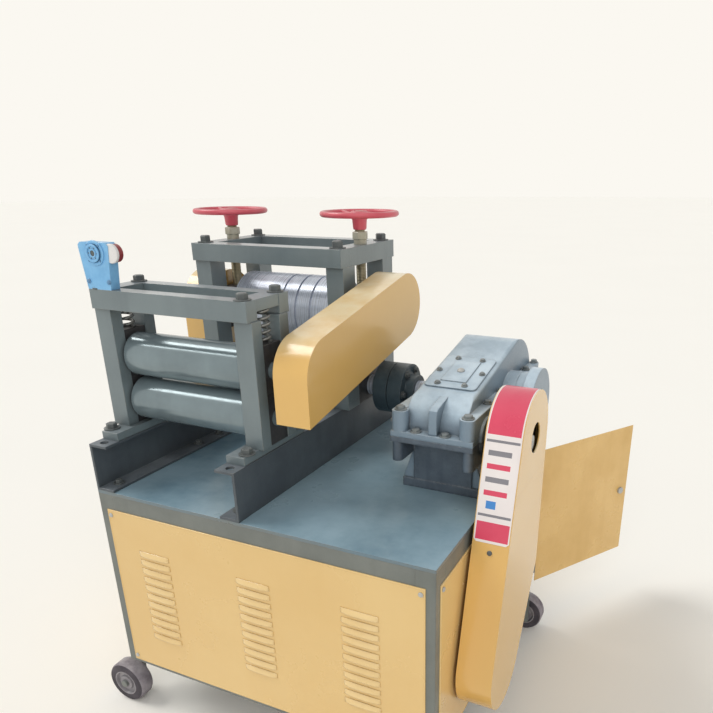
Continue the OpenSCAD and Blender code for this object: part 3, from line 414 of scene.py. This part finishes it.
# Wheels: dark rubber tyres moulded on turned iron discs with a plain bore, which turn on the stub
# axles of the brackets; the tread is worn grey and full of floor dust.
tyre_rubber = enamel("wheel_rubber", (74, 68, 76), (48, 44, 50), bare=(120, 112, 114), dust_and_sheen=(150, 142, 138),
                     wear=0.5, runs=0.0, dust_and_sheen_share=0.5, uneven=0.8, scale=18.0, gloss=0.62, grain=420.0, skin=0.3,
                     width=0.003)
dusty_tread = enamel("dusty_tread", (150, 144, 150), (108, 100, 108), bare=(170, 164, 166), dust_and_sheen=(186, 180, 178),
                     wear=0.4, runs=0.0, dust_and_sheen_share=0.6, uneven=0.9, scale=22.0, gloss=0.75, grain=420.0, skin=0.3,
                     width=0.003)
disc_iron = enamel("wheel_disc", (150, 146, 150), (104, 98, 104), bare=(190, 186, 186), wear=0.6, runs=0.0,
                   dust_and_sheen_share=0.4, scale=20.0, gloss=0.45, width=0.0015)
tyre_bore, disc_rim, rim_lip, web, hub, bore, web_in = 0.036, 0.037, 0.034, 0.031, 0.020, 0.0105, 0.007
tread_tilt = 0.75


def both_sides(profile):
    """A profile after its mirror image, for a wheel that is alike on both sides."""
    return [(-length, radius) for length, radius in profile[::-1]] + profile


for node, body in (("front_left_wheel", "wheel_fl"), ("front_right_wheel", "wheel_fr"),
                   ("rear_left_wheel", "wheel_rl"), ("rear_right_wheel", "wheel_rr")):
    low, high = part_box(node)
    centre, outer, half = (low + high) / 2, (high.z - low.z) / 2, (high.y - low.y) / 2
    shoulder = [(half - 0.007, outer), (half - 0.002, outer - 0.003), (half, outer - 0.008), (half, tyre_bore)]
    bm = bmesh.new()
    turned(bm, both_sides(shoulder), centre, to_back, steps=56, closed=True)
    tyre = piece(node + "_tyre", bm, tyre_rubber, body)
    tyre.data.materials.append(dusty_tread)
    for face in tyre.data.polygons:
        face.material_index = 1 if abs(face.normal.y) < tread_tilt else 0
    dish = [(half + 0.0005, disc_rim), (half + 0.0005, rim_lip), (half - web_in, web), (half - web_in, hub + 0.002),
            (half - 0.001, hub), (half - 0.001, bore)]
    bm = bmesh.new()
    turned(bm, both_sides(dish), centre, to_back, steps=40, closed=True)
    piece(node + "_disc", bm, disc_iron, body)
    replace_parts(tyre, node)

# Motor: a cast iron body on feet, bolted to two rails across the cabinet, with thin cooling fins cast
# along it all round, except under it and where the terminal box sits.
motor_enamel = enamel("motor_enamel", (74, 92, 104), (54, 68, 80), wear=0.5, dust_and_sheen_share=0.7, runs=0.1, gloss=0.5,
                      grain=200.0, skin=0.2)
coat_nodes(motor_enamel, "motor")
fin_count, fin_root, fin_crest, fin_half = 36, 0.1035, 0.115, 0.0018
foot_gap, box_gap, crest_share = -0.75, 0.45, 0.7
motor_y, motor_z = 205, 317
spine = [at(530, motor_y, motor_z), at(800, motor_y, motor_z)]
bm = bmesh.new()
for turn in turns_of(fin_count):
    if math.sin(turn) < foot_gap or abs(turn - math.pi / 2) < box_gap:
        continue
    out = Vector((0, math.cos(turn), math.sin(turn)))
    wide = Vector((0, -math.sin(turn), math.cos(turn))) * fin_half
    root = [bm.verts.new(p + out * fin_root + s * wide) for p in spine for s in (-1, 1)]
    crest = [bm.verts.new(p + out * fin_crest + s * wide * crest_share) for p in spine for s in (-1, 1)]
    for loop in ((root[0], root[2], crest[2], crest[0]), (root[3], root[1], crest[1], crest[3]),
                 (crest[0], crest[2], crest[3], crest[1]), (root[0], crest[0], crest[1], root[1]),
                 (root[2], root[3], crest[3], crest[2]), (root[0], root[1], root[3], root[2])):
        bm.faces.new(loop)
piece("motor_fins", bm, motor_enamel, "machine")

# Channel rails: two rolled steel channels standing on the table, held by bolts through the lower
# flange; enamelled darker than the frame, with mill scale showing.
rail_enamel = enamel("rail_enamel", (86, 94, 100), (56, 63, 71), dust_and_sheen=(150, 157, 164), wear=0.8, dust_and_sheen_share=0.6,
                     gloss=0.44, grain=220.0, skin=0.16)
bolt_steel = enamel("dark_bolt_steel", (92, 98, 98), (62, 66, 68), bare=(150, 150, 146), wear=0.8, runs=0.0,
                    dust_and_sheen_share=0.35, scale=30.0, gloss=0.42, grain=700.0, skin=0.1, width=0.0012)
coat_nodes(rail_enamel, "left_channel", "right_channel")


def hex_bolt(bm, foot, axis, across, height, washer, tip=0.0):
    """Hexagon head on a washer, tightened to some angle, with the stud's end showing where it has one."""
    thin, point = 0.0025, 0.0015
    top = height + thin
    turned(bm, [(0, 0), (0, washer), (thin, washer), (thin, 0)], foot, axis, steps=24)
    turned(bm, [(thin, 0), (thin, across), (height * 0.85 + thin, across), (top, across * 0.82), (top, 0)],
           foot, axis, steps=6, start=foot.x * 90)
    if tip:
        turned(bm, [(top, across * 0.55), (top + tip, across * 0.55), (top + tip + point, across * 0.42),
                    (top + tip + point, 0)], foot, axis, steps=16)


flange_top = 665
bm = bmesh.new()
for y in (40, 330, 420, 765):
    for x in (30, 397):
        hex_bolt(bm, at(x, y, flange_top), to_top, across=0.009, height=0.008, washer=0.014)
piece("channel_bolts", bm, bolt_steel, "machine")

# Stand bases: flat steel bars laid along the tops of the rails and bolted down, with the columns of
# both roll stands welded on them.
# The pale dust on the stands' top faces is partly a painted reflection of the sky, partly dust.
stand_enamel = enamel("stand_enamel", (118, 130, 133), (92, 103, 108), bare=(150, 146, 136), dust_and_sheen=(172, 176, 182),
                      wear=0.8, dust_and_sheen_share=0.55, uneven=0.4, gloss=0.34, coat=0.3)
coat_nodes(stand_enamel, "stand_bases")
base_top = 798
bm = bmesh.new()
for x in (9, 415):
    for y in (66, 256):
        hex_bolt(bm, at(x, y, base_top), to_top, across=0.013, height=0.012, washer=0.019)
piece("base_bolts", bm, bolt_steel, "machine")

# Front stand: four flat steel columns, joined at the top by two cross ties and two side bars that are
# welded and bolted at the corners.
coat_nodes(stand_enamel, "front_columns", "front_ties", "front_side_bars")
front_bar_x, front_bar_top = (12.5, 414.5), 1132
bm = bmesh.new()
for x in front_bar_x:
    for y in (102, 219):
        hex_bolt(bm, at(x, y, front_bar_top), to_top, across=0.013, height=0.013, washer=0.019)
piece("front_stand_bolts", bm, bolt_steel, "machine")

# Front rolls: two smooth turned steel rolls, bright along the middle and oily at the ends; the upper
# one runs in sprung chocks.


def turned_steel(name, colour, shade, gloss=0.26, rings=220.0, skin=0.03, rough=0.25, dull=0.5, scale=14.0,
                 metal=0.45):
    """Turned steel: faint rings round the axis and patches of oil film."""
    material, tree, shader = blank_material(name)
    dirt = put(tree, "ShaderNodeGroup", {"Scale": scale, "Uneven": dull, "Runs": 0.0, "DustAndSheenShare": 0.0, "Grain": 90.0},
               node_tree=shop_dirt)
    place = put(tree, "ShaderNodeTexCoord").outputs["Object"]
    drawn = put(tree, "ShaderNodeMapping", {"Vector": place, "Scale": (rings, 0.0, 0.0)}).outputs[0]
    ring = put(tree, "ShaderNodeTexNoise", {"Vector": drawn, "Scale": 1.0, "Detail": 2.0}).outputs["Fac"]
    tone = mixed(tree, dirt.outputs["Uneven"], linear(*colour), linear(*shade))
    tone = mixed(tree, times(tree, ring, rough), tone, linear(*shade))
    tree.links.new(tone, shader.inputs["Base Color"])
    tree.links.new(spread(tree, ring, 0.3, 0.7, gloss - 0.03, gloss + 0.06), shader.inputs["Roughness"])
    bump = put(tree, "ShaderNodeBump", {"Strength": skin, "Distance": 0.0006, "Height": ring})
    tree.links.new(bump.outputs[0], shader.inputs["Normal"])
    shader.inputs["Metallic"].default_value = metal
    return material


roll_steel = turned_steel("front_roll_steel", (134, 149, 154), (108, 121, 126), gloss=0.16, rings=60.0, skin=0.004,
                          rough=0.3, dull=0.5, scale=9.0, metal=0.35)
coat_nodes(roll_steel, "front_lower_roll", "front_upper_roll")

# Chocks: machined iron blocks that carry the ends of the rolls and slide between the columns; left
# unpainted and black with grease at the slides.
chock_iron = enamel("greasy_chock_iron", (66, 66, 68), (38, 36, 38), bare=(120, 118, 112), dust_and_sheen=(92, 84, 70),
                    wear=0.6, runs=0.5, dust_and_sheen_share=0.3, uneven=0.8, scale=16.0, gloss=0.46, grain=260.0, skin=0.2)
coat_nodes(chock_iron, "front_lower_chocks", "front_upper_chocks", "rear_lower_chocks", "rear_upper_chocks")

# Springs: two coils of round steel wire with closed ends, pressed between the upper chocks and the side bars.
spring_steel = turned_steel("spring_steel", (150, 152, 150), (86, 84, 82), rings=60.0, gloss=0.34, metal=0.6)
low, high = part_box("front_springs")
coil_turns, coil_radius, wire, coil_y = 5.5, 0.0152, 0.0036, 161
turn_steps, closed_share, rise_share = 28, 0.09, 0.82
coil_steps = int(coil_turns * turn_steps)
bm = bmesh.new()
for x in front_bar_x:
    foot = at(x, coil_y, 0)
    path = []
    for share in [k / coil_steps for k in range(coil_steps + 1)]:
        turn = math.tau * coil_turns * share
        climb = min(1, max(0, (share - closed_share) / rise_share))
        path.append(Vector((foot.x + coil_radius * math.cos(turn), foot.y + coil_radius * math.sin(turn),
                            low.z + wire + (high.z - low.z - 2 * wire) * climb)))
    rod(bm, path, wire)
coils = piece("spring_coils", bm, spring_steel, "machine", flat=60)
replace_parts(coils, "front_springs")
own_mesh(coils)

# Rear stand: heavier columns with cross ties and side beams, bolted at the corners; the rolls have
# turned grooves for the bars.
coat_nodes(stand_enamel, "rear_columns", "rear_ties", "rear_side_beams")
rear_beam_top = 1201
bm = bmesh.new()
for x in (4, 423):
    for y in (484, 722):
        hex_bolt(bm, at(x, y, rear_beam_top), to_top, across=0.0145, height=0.016, washer=0.021)
piece("rear_stand_bolts", bm, bolt_steel, "machine")
groove_steel = turned_steel("grooved_roll_steel", (206, 213, 226), (166, 174, 188), gloss=0.26, skin=0.002,
                            rough=0.12, dull=0.7, scale=10.0, metal=0.3)
coat_nodes(groove_steel, "rear_lower_roll", "rear_upper_roll")

# Screw-down: two threaded steel spindles in hexagon nuts on the side beams, each turned by a red cast
# handwheel with three arms that is held by a nut; threads and nuts are bare and greased.
thread_steel = turned_steel("greased_thread", (172, 164, 140), (118, 106, 78), rings=30.0, gloss=0.34, metal=0.6)
nut_steel = enamel("nut_steel", (182, 180, 164), (146, 138, 108), bare=(206, 204, 194), wear=0.6, runs=0.0,
                   dust_and_sheen_share=0.2, scale=30.0, gloss=0.36, grain=500.0, skin=0.12, width=0.0015)
red_enamel = enamel("handwheel_red", (212, 88, 102), (188, 64, 80), bare=(224, 168, 166), wear=0.5, runs=0.1,
                    dust_and_sheen_share=0.3, scale=14.0, gloss=0.36, grain=300.0, skin=0.14, width=0.002, coat=0.2)
pitch, thread_depth, thread_steps, rows_per_turn = 0.004, 0.0016, 20, 5
rim, rim_steps, arm_count, arm_ahead = 0.0075, 14, 3, 0.24
arm_radius, arm_dip, arm_steps, arm_start, arm_short = 0.006, 0.004, 8, 0.016, 0.022
hub_profile = [(-0.040, 0.0145), (-0.040, 0.0165), (-0.036, 0.018), (-0.016, 0.0195), (-0.007, 0.024),
               (0.002, 0.0235), (0.006, 0.021), (0.007, 0.0145)]
cap_nut = [(-0.004, 0.0), (-0.004, 0.0142), (0.0055, 0.0142), (0.0068, 0.012), (0.0068, 0)]
nut_bore = 0.0146
nut_collar = [(0, nut_bore), (0, 0.0172), (0.0125, 0.0172), (0.0125, nut_bore)]
nut_hexagon = [(0.012, nut_bore), (0.012, 0.019), (0.0136, 0.0208), (0.0304, 0.0208), (0.032, 0.019),
               (0.032, nut_bore)]
nuts = bmesh.new()
for side in ("left", "right"):
    body = side + "_screw_down"
    low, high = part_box(side + "_screw")
    middle = Vector(((low.x + high.x) / 2, (low.y + high.y) / 2, 0))
    outer = (high.x - low.x) / 2
    rows = int((high.z - low.z) / (pitch / rows_per_turn))
    screw = bmesh.new()
    lines = []
    for j in range(rows + 1):
        z = low.z + (high.z - low.z) * j / rows
        line = []
        for k, turn in enumerate(turns_of(thread_steps)):
            phase = ((z - low.z) / pitch - k / thread_steps) % 1.0
            radius = outer - thread_depth * abs(2 * phase - 1)
            line.append(screw.verts.new((middle.x + radius * math.cos(turn), middle.y + radius * math.sin(turn), z)))
        lines.append(line)
    span_rows(screw, lines, thread_steps)
    screw.faces.new(lines[0])
    screw.faces.new(lines[-1])
    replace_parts(piece(side + "_spindle", screw, thread_steel, body, flat=80), side + "_screw")

    low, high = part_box(side + "_handwheel")
    hub = Vector((middle.x, middle.y, high.z - rim))
    outer = (high.x - low.x) / 2
    wheel = bmesh.new()
    turned(wheel, [(rim * math.sin(turn), outer - rim + rim * math.cos(turn)) for turn in turns_of(rim_steps)],
           hub, to_top, steps=72, closed=True)
    turned(wheel, hub_profile, hub, to_top, steps=36, closed=True)
    for turn in turns_of(arm_count, arm_ahead):
        out = Vector((math.cos(turn), math.sin(turn), 0))
        arm = []
        for share in [i / arm_steps for i in range(arm_steps + 1)]:
            dip = Vector((0, 0, -arm_dip * math.sin(math.pi * min(1, share * 1.2))))
            arm.append(hub + out * (arm_start + (outer - arm_short) * share) + dip)
        rod(wheel, arm, arm_radius, sides=12)
    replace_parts(piece(side + "_hand_wheel", wheel, red_enamel, body, flat=50), side + "_handwheel")
    tip = bmesh.new()
    turned(tip, cap_nut, hub, to_top, steps=6)
    piece(side + "_wheel_nut", tip, nut_steel, body)
    foot = Vector((middle.x, middle.y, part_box("screw_nuts")[0].z))
    turned(nuts, nut_collar, foot, to_top, steps=28, closed=True)
    turned(nuts, nut_hexagon, foot, to_top, steps=6, closed=True)
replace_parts(piece("spindle_nuts", nuts, nut_steel, "machine"), "screw_nuts")

# Guards: folded sheet covers over the roll gears on the left, the chain on the right and the belts at
# the side, sprayed ochre yellow and held by screws on lugs.
# The near-white dust laid on at full share makes the guards' top faces nearly white: mostly a painted highlight of
# the sky, with some dust.
guard_enamel = enamel("guard_enamel", (228, 184, 106), (216, 170, 94), bare=(170, 146, 108), dust_and_sheen=(250, 238, 202),
                      wear=0.35, runs=0.08, dust_and_sheen_share=1.0, uneven=0.35, scale=3.5, gloss=0.22, skin=0.03, width=0.001,
                      coat=0.5, nook_shade=0.25, nook_shade_colour=(120, 88, 46))
coat_nodes(guard_enamel, "gear_guard", "chain_guard", "belt_guard_box", "belt_guard_cap")
coat_nodes(green_enamel, "guard_brackets")

# Speed reducer: grey iron castings, base and cover bolted together at the flange, with bolt bosses,
# bearing caps and a screwed inspection cover; sprayed grey over the rough sand-cast skin.
# The cover's colour is light on faces that look up and darker on upright faces: painted sheen on top and painted
# shade on the sides. Its pale dust on top is partly painted sheen, and its nooks get painted shade.
cast_enamel = enamel("cast_reducer_enamel", (186, 206, 220), (126, 145, 160), bare=(174, 186, 194),
                     dust_and_sheen=(206, 221, 232), wear=0.5, runs=0.3, dust_and_sheen_share=0.6, uneven=0.5, scale=9.0, gloss=0.4,
                     grain=260.0, skin=0.45, width=0.006, coat=0.25, nook_shade=0.85, nook_shade_colour=(40, 46, 52),
                     edge=(122, 140, 156))
# The base is painted darker than the cover as painted shade for the shadow under the flange, with oil runs and
# painted shade in its nooks.
oily_shaded_enamel = enamel("oily_base_painted_shade", (96, 109, 122), (58, 69, 82), bare=(150, 156, 160), dust_and_sheen=(150, 162, 170),
                     wear=0.5, runs=0.6, dust_and_sheen_share=0.4, uneven=0.8, scale=9.0, gloss=0.4, grain=260.0, skin=0.45,
                     width=0.006, coat=0.25, nook_shade=0.9, nook_shade_colour=(34, 38, 46))
cast_bolts = enamel("reducer_bolt_paint", (128, 136, 138), (92, 98, 100), bare=(176, 176, 172), wear=0.8, runs=0.0,
                    dust_and_sheen_share=0.4, scale=30.0, gloss=0.42, grain=700.0, skin=0.1, width=0.0012)
coat_nodes(oily_shaded_enamel, "reducer_base")
coat_nodes(cast_enamel, "reducer_cover", "inspection_cover", "bearing_caps")
shaft_z, flange_z, boss_z, foot_z = 815, 828, 876, 681
flange_bolt = dict(across=0.0095, height=0.006, washer=0.013)
front_bolt = dict(across=0.0105, height=0.007, washer=0.0145)
boss_bolt = dict(across=0.0085, height=0.007, washer=0.0115)
foot_bolt = dict(across=0.010, height=0.010, washer=0.0135, tip=0.006)
lid_screw = dict(across=0.0055, height=0.004, washer=0.0075)
cap_screw = dict(across=0.006, height=0.005, washer=0.0075)
bm = bmesh.new()
for z, size, places in ((flange_z, flange_bolt, ((734, 272), (806, 272), (716, 805), (836, 805))),
                        (boss_z, front_bolt, ((694, 277), (858, 277))),
                        (boss_z, boss_bolt, [(x, y) for x in (688.5, 863.5) for y in (395, 497, 715, 798)]),
                        (foot_z, foot_bolt, [(x, y) for x in (687, 865) for y in (352, 500, 720)])):
    for x, y in places:
        hex_bolt(bm, at(x, y, z), to_top, **size)
slope = math.asin(0.2)
lid_up = Vector((0, -math.sin(slope), math.cos(slope)))
lid_back = Vector((0, math.cos(slope), math.sin(slope)))
lid_top = at(776, 445.39, 930.17)
for x, back in ((-0.034, -0.068), (0.034, -0.068), (-0.055, -0.003), (0.055, -0.003), (-0.032, 0.067),
                (0.032, 0.067)):
    hex_bolt(bm, lid_top + Vector((x, 0, 0)) + lid_back * back, lid_up, **lid_screw)
for x, y, radius, way in ((657, 346, 33, to_left), (657, 446, 39, to_left), (895, 446, 39, to_right)):
    for turn in turns_of(6, 0.5):
        hex_bolt(bm, at(x, y + radius * math.cos(turn), shaft_z + radius * math.sin(turn)), way, **cap_screw)
piece("reducer_bolts", bm, cast_bolts, "machine")
plug_profile = [(0.0024, 0), (0.0024, 0.009), (0.005, 0.009), (0.0075, 0.0065), (0.009, 0.003), (0.0092, 0)]
bm = bmesh.new()
turned(bm, plug_profile, lid_top, lid_up, steps=20)
piece("breather_plug", bm, zinc, "machine")


def plate(bm, outline, thickness):
    """A flat web: the outline's points on one side, moved by the thickness on the other."""
    near = [bm.verts.new(p) for p in outline]
    far = [bm.verts.new(p + thickness) for p in outline]
    bm.faces.new(near)
    bm.faces.new(far[::-1])
    for k in range(len(outline)):
        bm.faces.new((near[k - 1], near[k], far[k], far[k - 1]))


nose_x, nose_thick, gusset_thick, gusset_top = 768, Vector((0.020, 0, 0)), Vector((0, 0.012, 0)), 752
nose_outline = ((264, flange_z), (264, 874), (268, 885), (278, 890), (350, 904), (380, 900), (380, flange_z))
bm = bmesh.new()
plate(bm, [at(nose_x, y, z) for y, z in nose_outline], nose_thick)
for x, way in ((701.5, -1), (850.5, 1)):
    for y in (336, 480, 700):
        plate(bm, [at(x + way * out, y, z) for out, z in ((0, foot_z), (28, foot_z), (27, 690), (5, gusset_top),
                                                          (0, gusset_top))], gusset_thick)
piece("casting_ribs", bm, cast_enamel, "machine")

# Coupling and pulley: turned iron hubs keyed to the drive shafts. The coupling's halves are drawn up
# by six bolts, and the input shaft's bright end shows in the guard's round hole.
coupling_iron = enamel("coupling_iron", (66, 82, 90), (46, 58, 66), bare=(140, 146, 148), wear=0.6, runs=0.0,
                       dust_and_sheen_share=0.3, scale=20.0, gloss=0.38, grain=300.0, skin=0.12, width=0.002)
coat_nodes(coupling_iron, "shaft_coupling", "input_pulley")
output_y, bolt_circle, flange_out = 603, 57, 84.8
face_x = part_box("shaft_coupling")[0].x * 1000 - corner.x * 1000 + flange_out
bm = bmesh.new()
for turn in turns_of(6):
    foot = at(face_x, output_y + bolt_circle * math.cos(turn), shaft_z + bolt_circle * math.sin(turn))
    hex_bolt(bm, foot, to_right, across=0.008, height=0.007, washer=0.011)
piece("coupling_bolts", bm, bolt_steel, "lower_main_roll")
input_y, shaft_end_x = 346, 975
shaft_end = [(0, 0), (0, 0.019), (0.010, 0.019), (0.012, 0.017), (0.012, 0.004), (0.009, 0.0015), (0.009, 0)]
bm = bmesh.new()
turned(bm, shaft_end, at(shaft_end_x, input_y, shaft_z), to_right, steps=28)
piece("input_shaft_end", bm, zinc, "input_drive")

# Belt guard trim: a printed film strip of plain bands stuck along the guard's front edge, from half
# way up to over the arch, and the screw below it that holds the guard's cap.
film_colours = (("film_white", (240, 232, 230), (226, 216, 214)), ("film_red", (222, 76, 104), (206, 58, 88)),
                ("film_grey", (136, 134, 140), (120, 118, 124)), ("film_blue", (70, 140, 210), (58, 120, 190)))
films = [enamel(name, colour, shade, wear=0.0, runs=0.1, dust_and_sheen_share=0.1, gloss=0.22, skin=0.03, width=0.0005)
         for name, colour, shade in film_colours]
white, red, grey, blue = range(len(films))
guard_x, front_y, front_z, edge_y, edge_z = 910, 242, 858, 143, 511
film_end_tuck = 6
arch_y, arch_z, arch_radius, arch_sweep = input_y, 829, 108, math.radians(95)
film_start, straight_steps, arch_steps, film_lift = 0.435, 40, 36, 0.5
front = math.radians(164.4)
path = []
for i in range(straight_steps + 1):
    share = film_start * (1 - i / straight_steps)
    path.append((front_y - edge_y * share, front_z - edge_z * share, front))
for i in range(1, arch_steps + 1):
    turn = front - arch_sweep * i / arch_steps
    path.append((arch_y + arch_radius * math.cos(turn), arch_z + arch_radius * math.sin(turn), turn))
across = [2, 5, 12, 20, 42, 64, 72, 79, 82]
strips = len(across) - 1
last_row = len(path) - 2


def film_at(row, strip):
    """Which film lies at a row up the guard and a strip across it."""
    if strip in (0, strips - 1) or row in (0, last_row):
        return white
    if row < 8 or row > 40:
        return red
    if row in (10, 38):
        return grey
    if row in (13, 14, 15) and strip == 3:
        return blue
    if 16 < row < 36 and row % 5 in (3, 4) and strip in (2, 3, 4):
        return red if row % 10 > 5 else grey
    return white


bm = bmesh.new()
grid = []
for i, (y, z, turn) in enumerate(path):
    tuck = max(0, film_end_tuck - film_end_tuck * math.sqrt(i))
    grid.append([bm.verts.new(at(guard_x + min(max(x, across[0] + tuck), across[-1] - tuck),
                                 y + film_lift * math.cos(turn), z + film_lift * math.sin(turn))) for x in across])
for i, face in enumerate(span_rows(bm, grid, strips)):
    face.material_index = film_at(*divmod(i, strips))
label = piece("guard_film", bm, films[white], "machine", flat=60)
for film in films[1:]:
    label.data.materials.append(film)
screw_x, screw_share = 952, 0.475
bm = bmesh.new()
turned(bm, screw_head, at(screw_x, front_y - edge_y * screw_share, front_z - edge_z * screw_share),
       Vector((0, math.cos(front), math.sin(front))), screw_sides)
piece("guard_screw", bm, bolt_steel, "machine")

# Feed unit: a small blue gear housing screwed to the front stand's corner, with a cast ring boss, a
# pale collar and a dark red cap on its shaft.
blue_enamel = enamel("unit_blue", (136, 194, 236), (104, 166, 216), bare=(190, 206, 216), dust_and_sheen=(186, 208, 222),
                     wear=0.6, runs=0.2, dust_and_sheen_share=0.3, scale=24.0, gloss=0.36, grain=400.0, skin=0.2, width=0.002)
unit_bolt_paint = enamel("unit_bolt_paint", (104, 150, 190), (78, 120, 160), bare=(190, 200, 206), wear=0.8,
                         runs=0.0, dust_and_sheen_share=0.3, scale=30.0, gloss=0.4, grain=500.0, skin=0.1, width=0.001)
cap_enamel = enamel("cap_red", (150, 52, 56), (110, 34, 40), wear=0.4, runs=0.0, dust_and_sheen_share=0.2, scale=30.0, gloss=0.35,
                    grain=400.0, skin=0.1, width=0.001)
collar_white = enamel("collar_white", (232, 230, 228), (206, 204, 204), wear=0.2, runs=0.1, dust_and_sheen_share=0.1, scale=30.0,
                      gloss=0.3, skin=0.05, width=0.001)
coat_nodes(blue_enamel, "feed_reducer")
coat_nodes(cap_enamel, "feed_reducer_cap")
low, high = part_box("feed_reducer")
cap_low, cap_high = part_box("feed_reducer_cap")
ring_x, axis_z = 32, (cap_low.z + cap_high.z) / 2
ring_at = Vector((at(ring_x, 0, 0).x, low.y, axis_z))
outer_ring = [(-0.006, 0.0196), (-0.0032, 0.0200), (-0.0024, 0.0212), (-0.0024, 0.0262), (-0.0034, 0.0275),
              (-0.006, 0.0278)]
middle_ring = [(0, 0.0145), (0.0022, 0.0150), (0.0028, 0.0165), (0.0022, 0.0192), (0, 0.0198)]
inner_ring = [(0, 0.0062), (0.0016, 0.0066), (0.0016, 0.0098), (0, 0.0104)]
bm = bmesh.new()
for profile, steps in ((outer_ring, 44), (middle_ring, 36), (inner_ring, 28)):
    turned(bm, profile, ring_at, to_front, steps, closed=True)
piece("unit_rings", bm, blue_enamel, "machine")
bore_face = [(0.0003, 0.0), (0.0003, 0.0062), (0, 0.0064)]
pin_face = [(0.0003, 0.0), (0.0003, 0.0015), (0, 0.0016)]
pin_circle = 0.0124
bm = bmesh.new()
turned(bm, bore_face, ring_at, to_front, steps=24)
for turn in turns_of(6):
    turned(bm, pin_face, ring_at + pin_circle * Vector((math.cos(turn), 0, math.sin(turn))), to_front, steps=10)
piece("unit_bore", bm, bolt_steel, "machine")
ring_screw = [(0, 0.0), (0, 0.0026), (0.0016, 0.0026), (0.002, 0.002), (0.002, 0)]
screw_circle, ring_sunk, unit_front, ear_z = 0.0237, 0.0024, 85, 1150
bm = bmesh.new()
for turn in turns_of(4, 0.5):
    spot = ring_at + Vector((screw_circle * math.cos(turn), ring_sunk, screw_circle * math.sin(turn)))
    turned(bm, ring_screw, spot, to_front, steps=6)
for x in (0, 62):
    hex_bolt(bm, at(x, unit_front, ear_z), to_front, across=0.0036, height=0.003, washer=0.005)
piece("unit_bolts", bm, unit_bolt_paint, "machine")
collar_profile = [(0.005, 0.0212), (-0.0005, 0.0212), (-0.0016, 0.0198), (-0.0016, 0.0)]
collar_inset, collar_h = 0.021, 0.005
bm = bmesh.new()
turned(bm, collar_profile, Vector((high.x - collar_inset, cap_low.y - collar_h, axis_z)), to_back, steps=40)
piece("unit_collar", bm, collar_white, "machine")
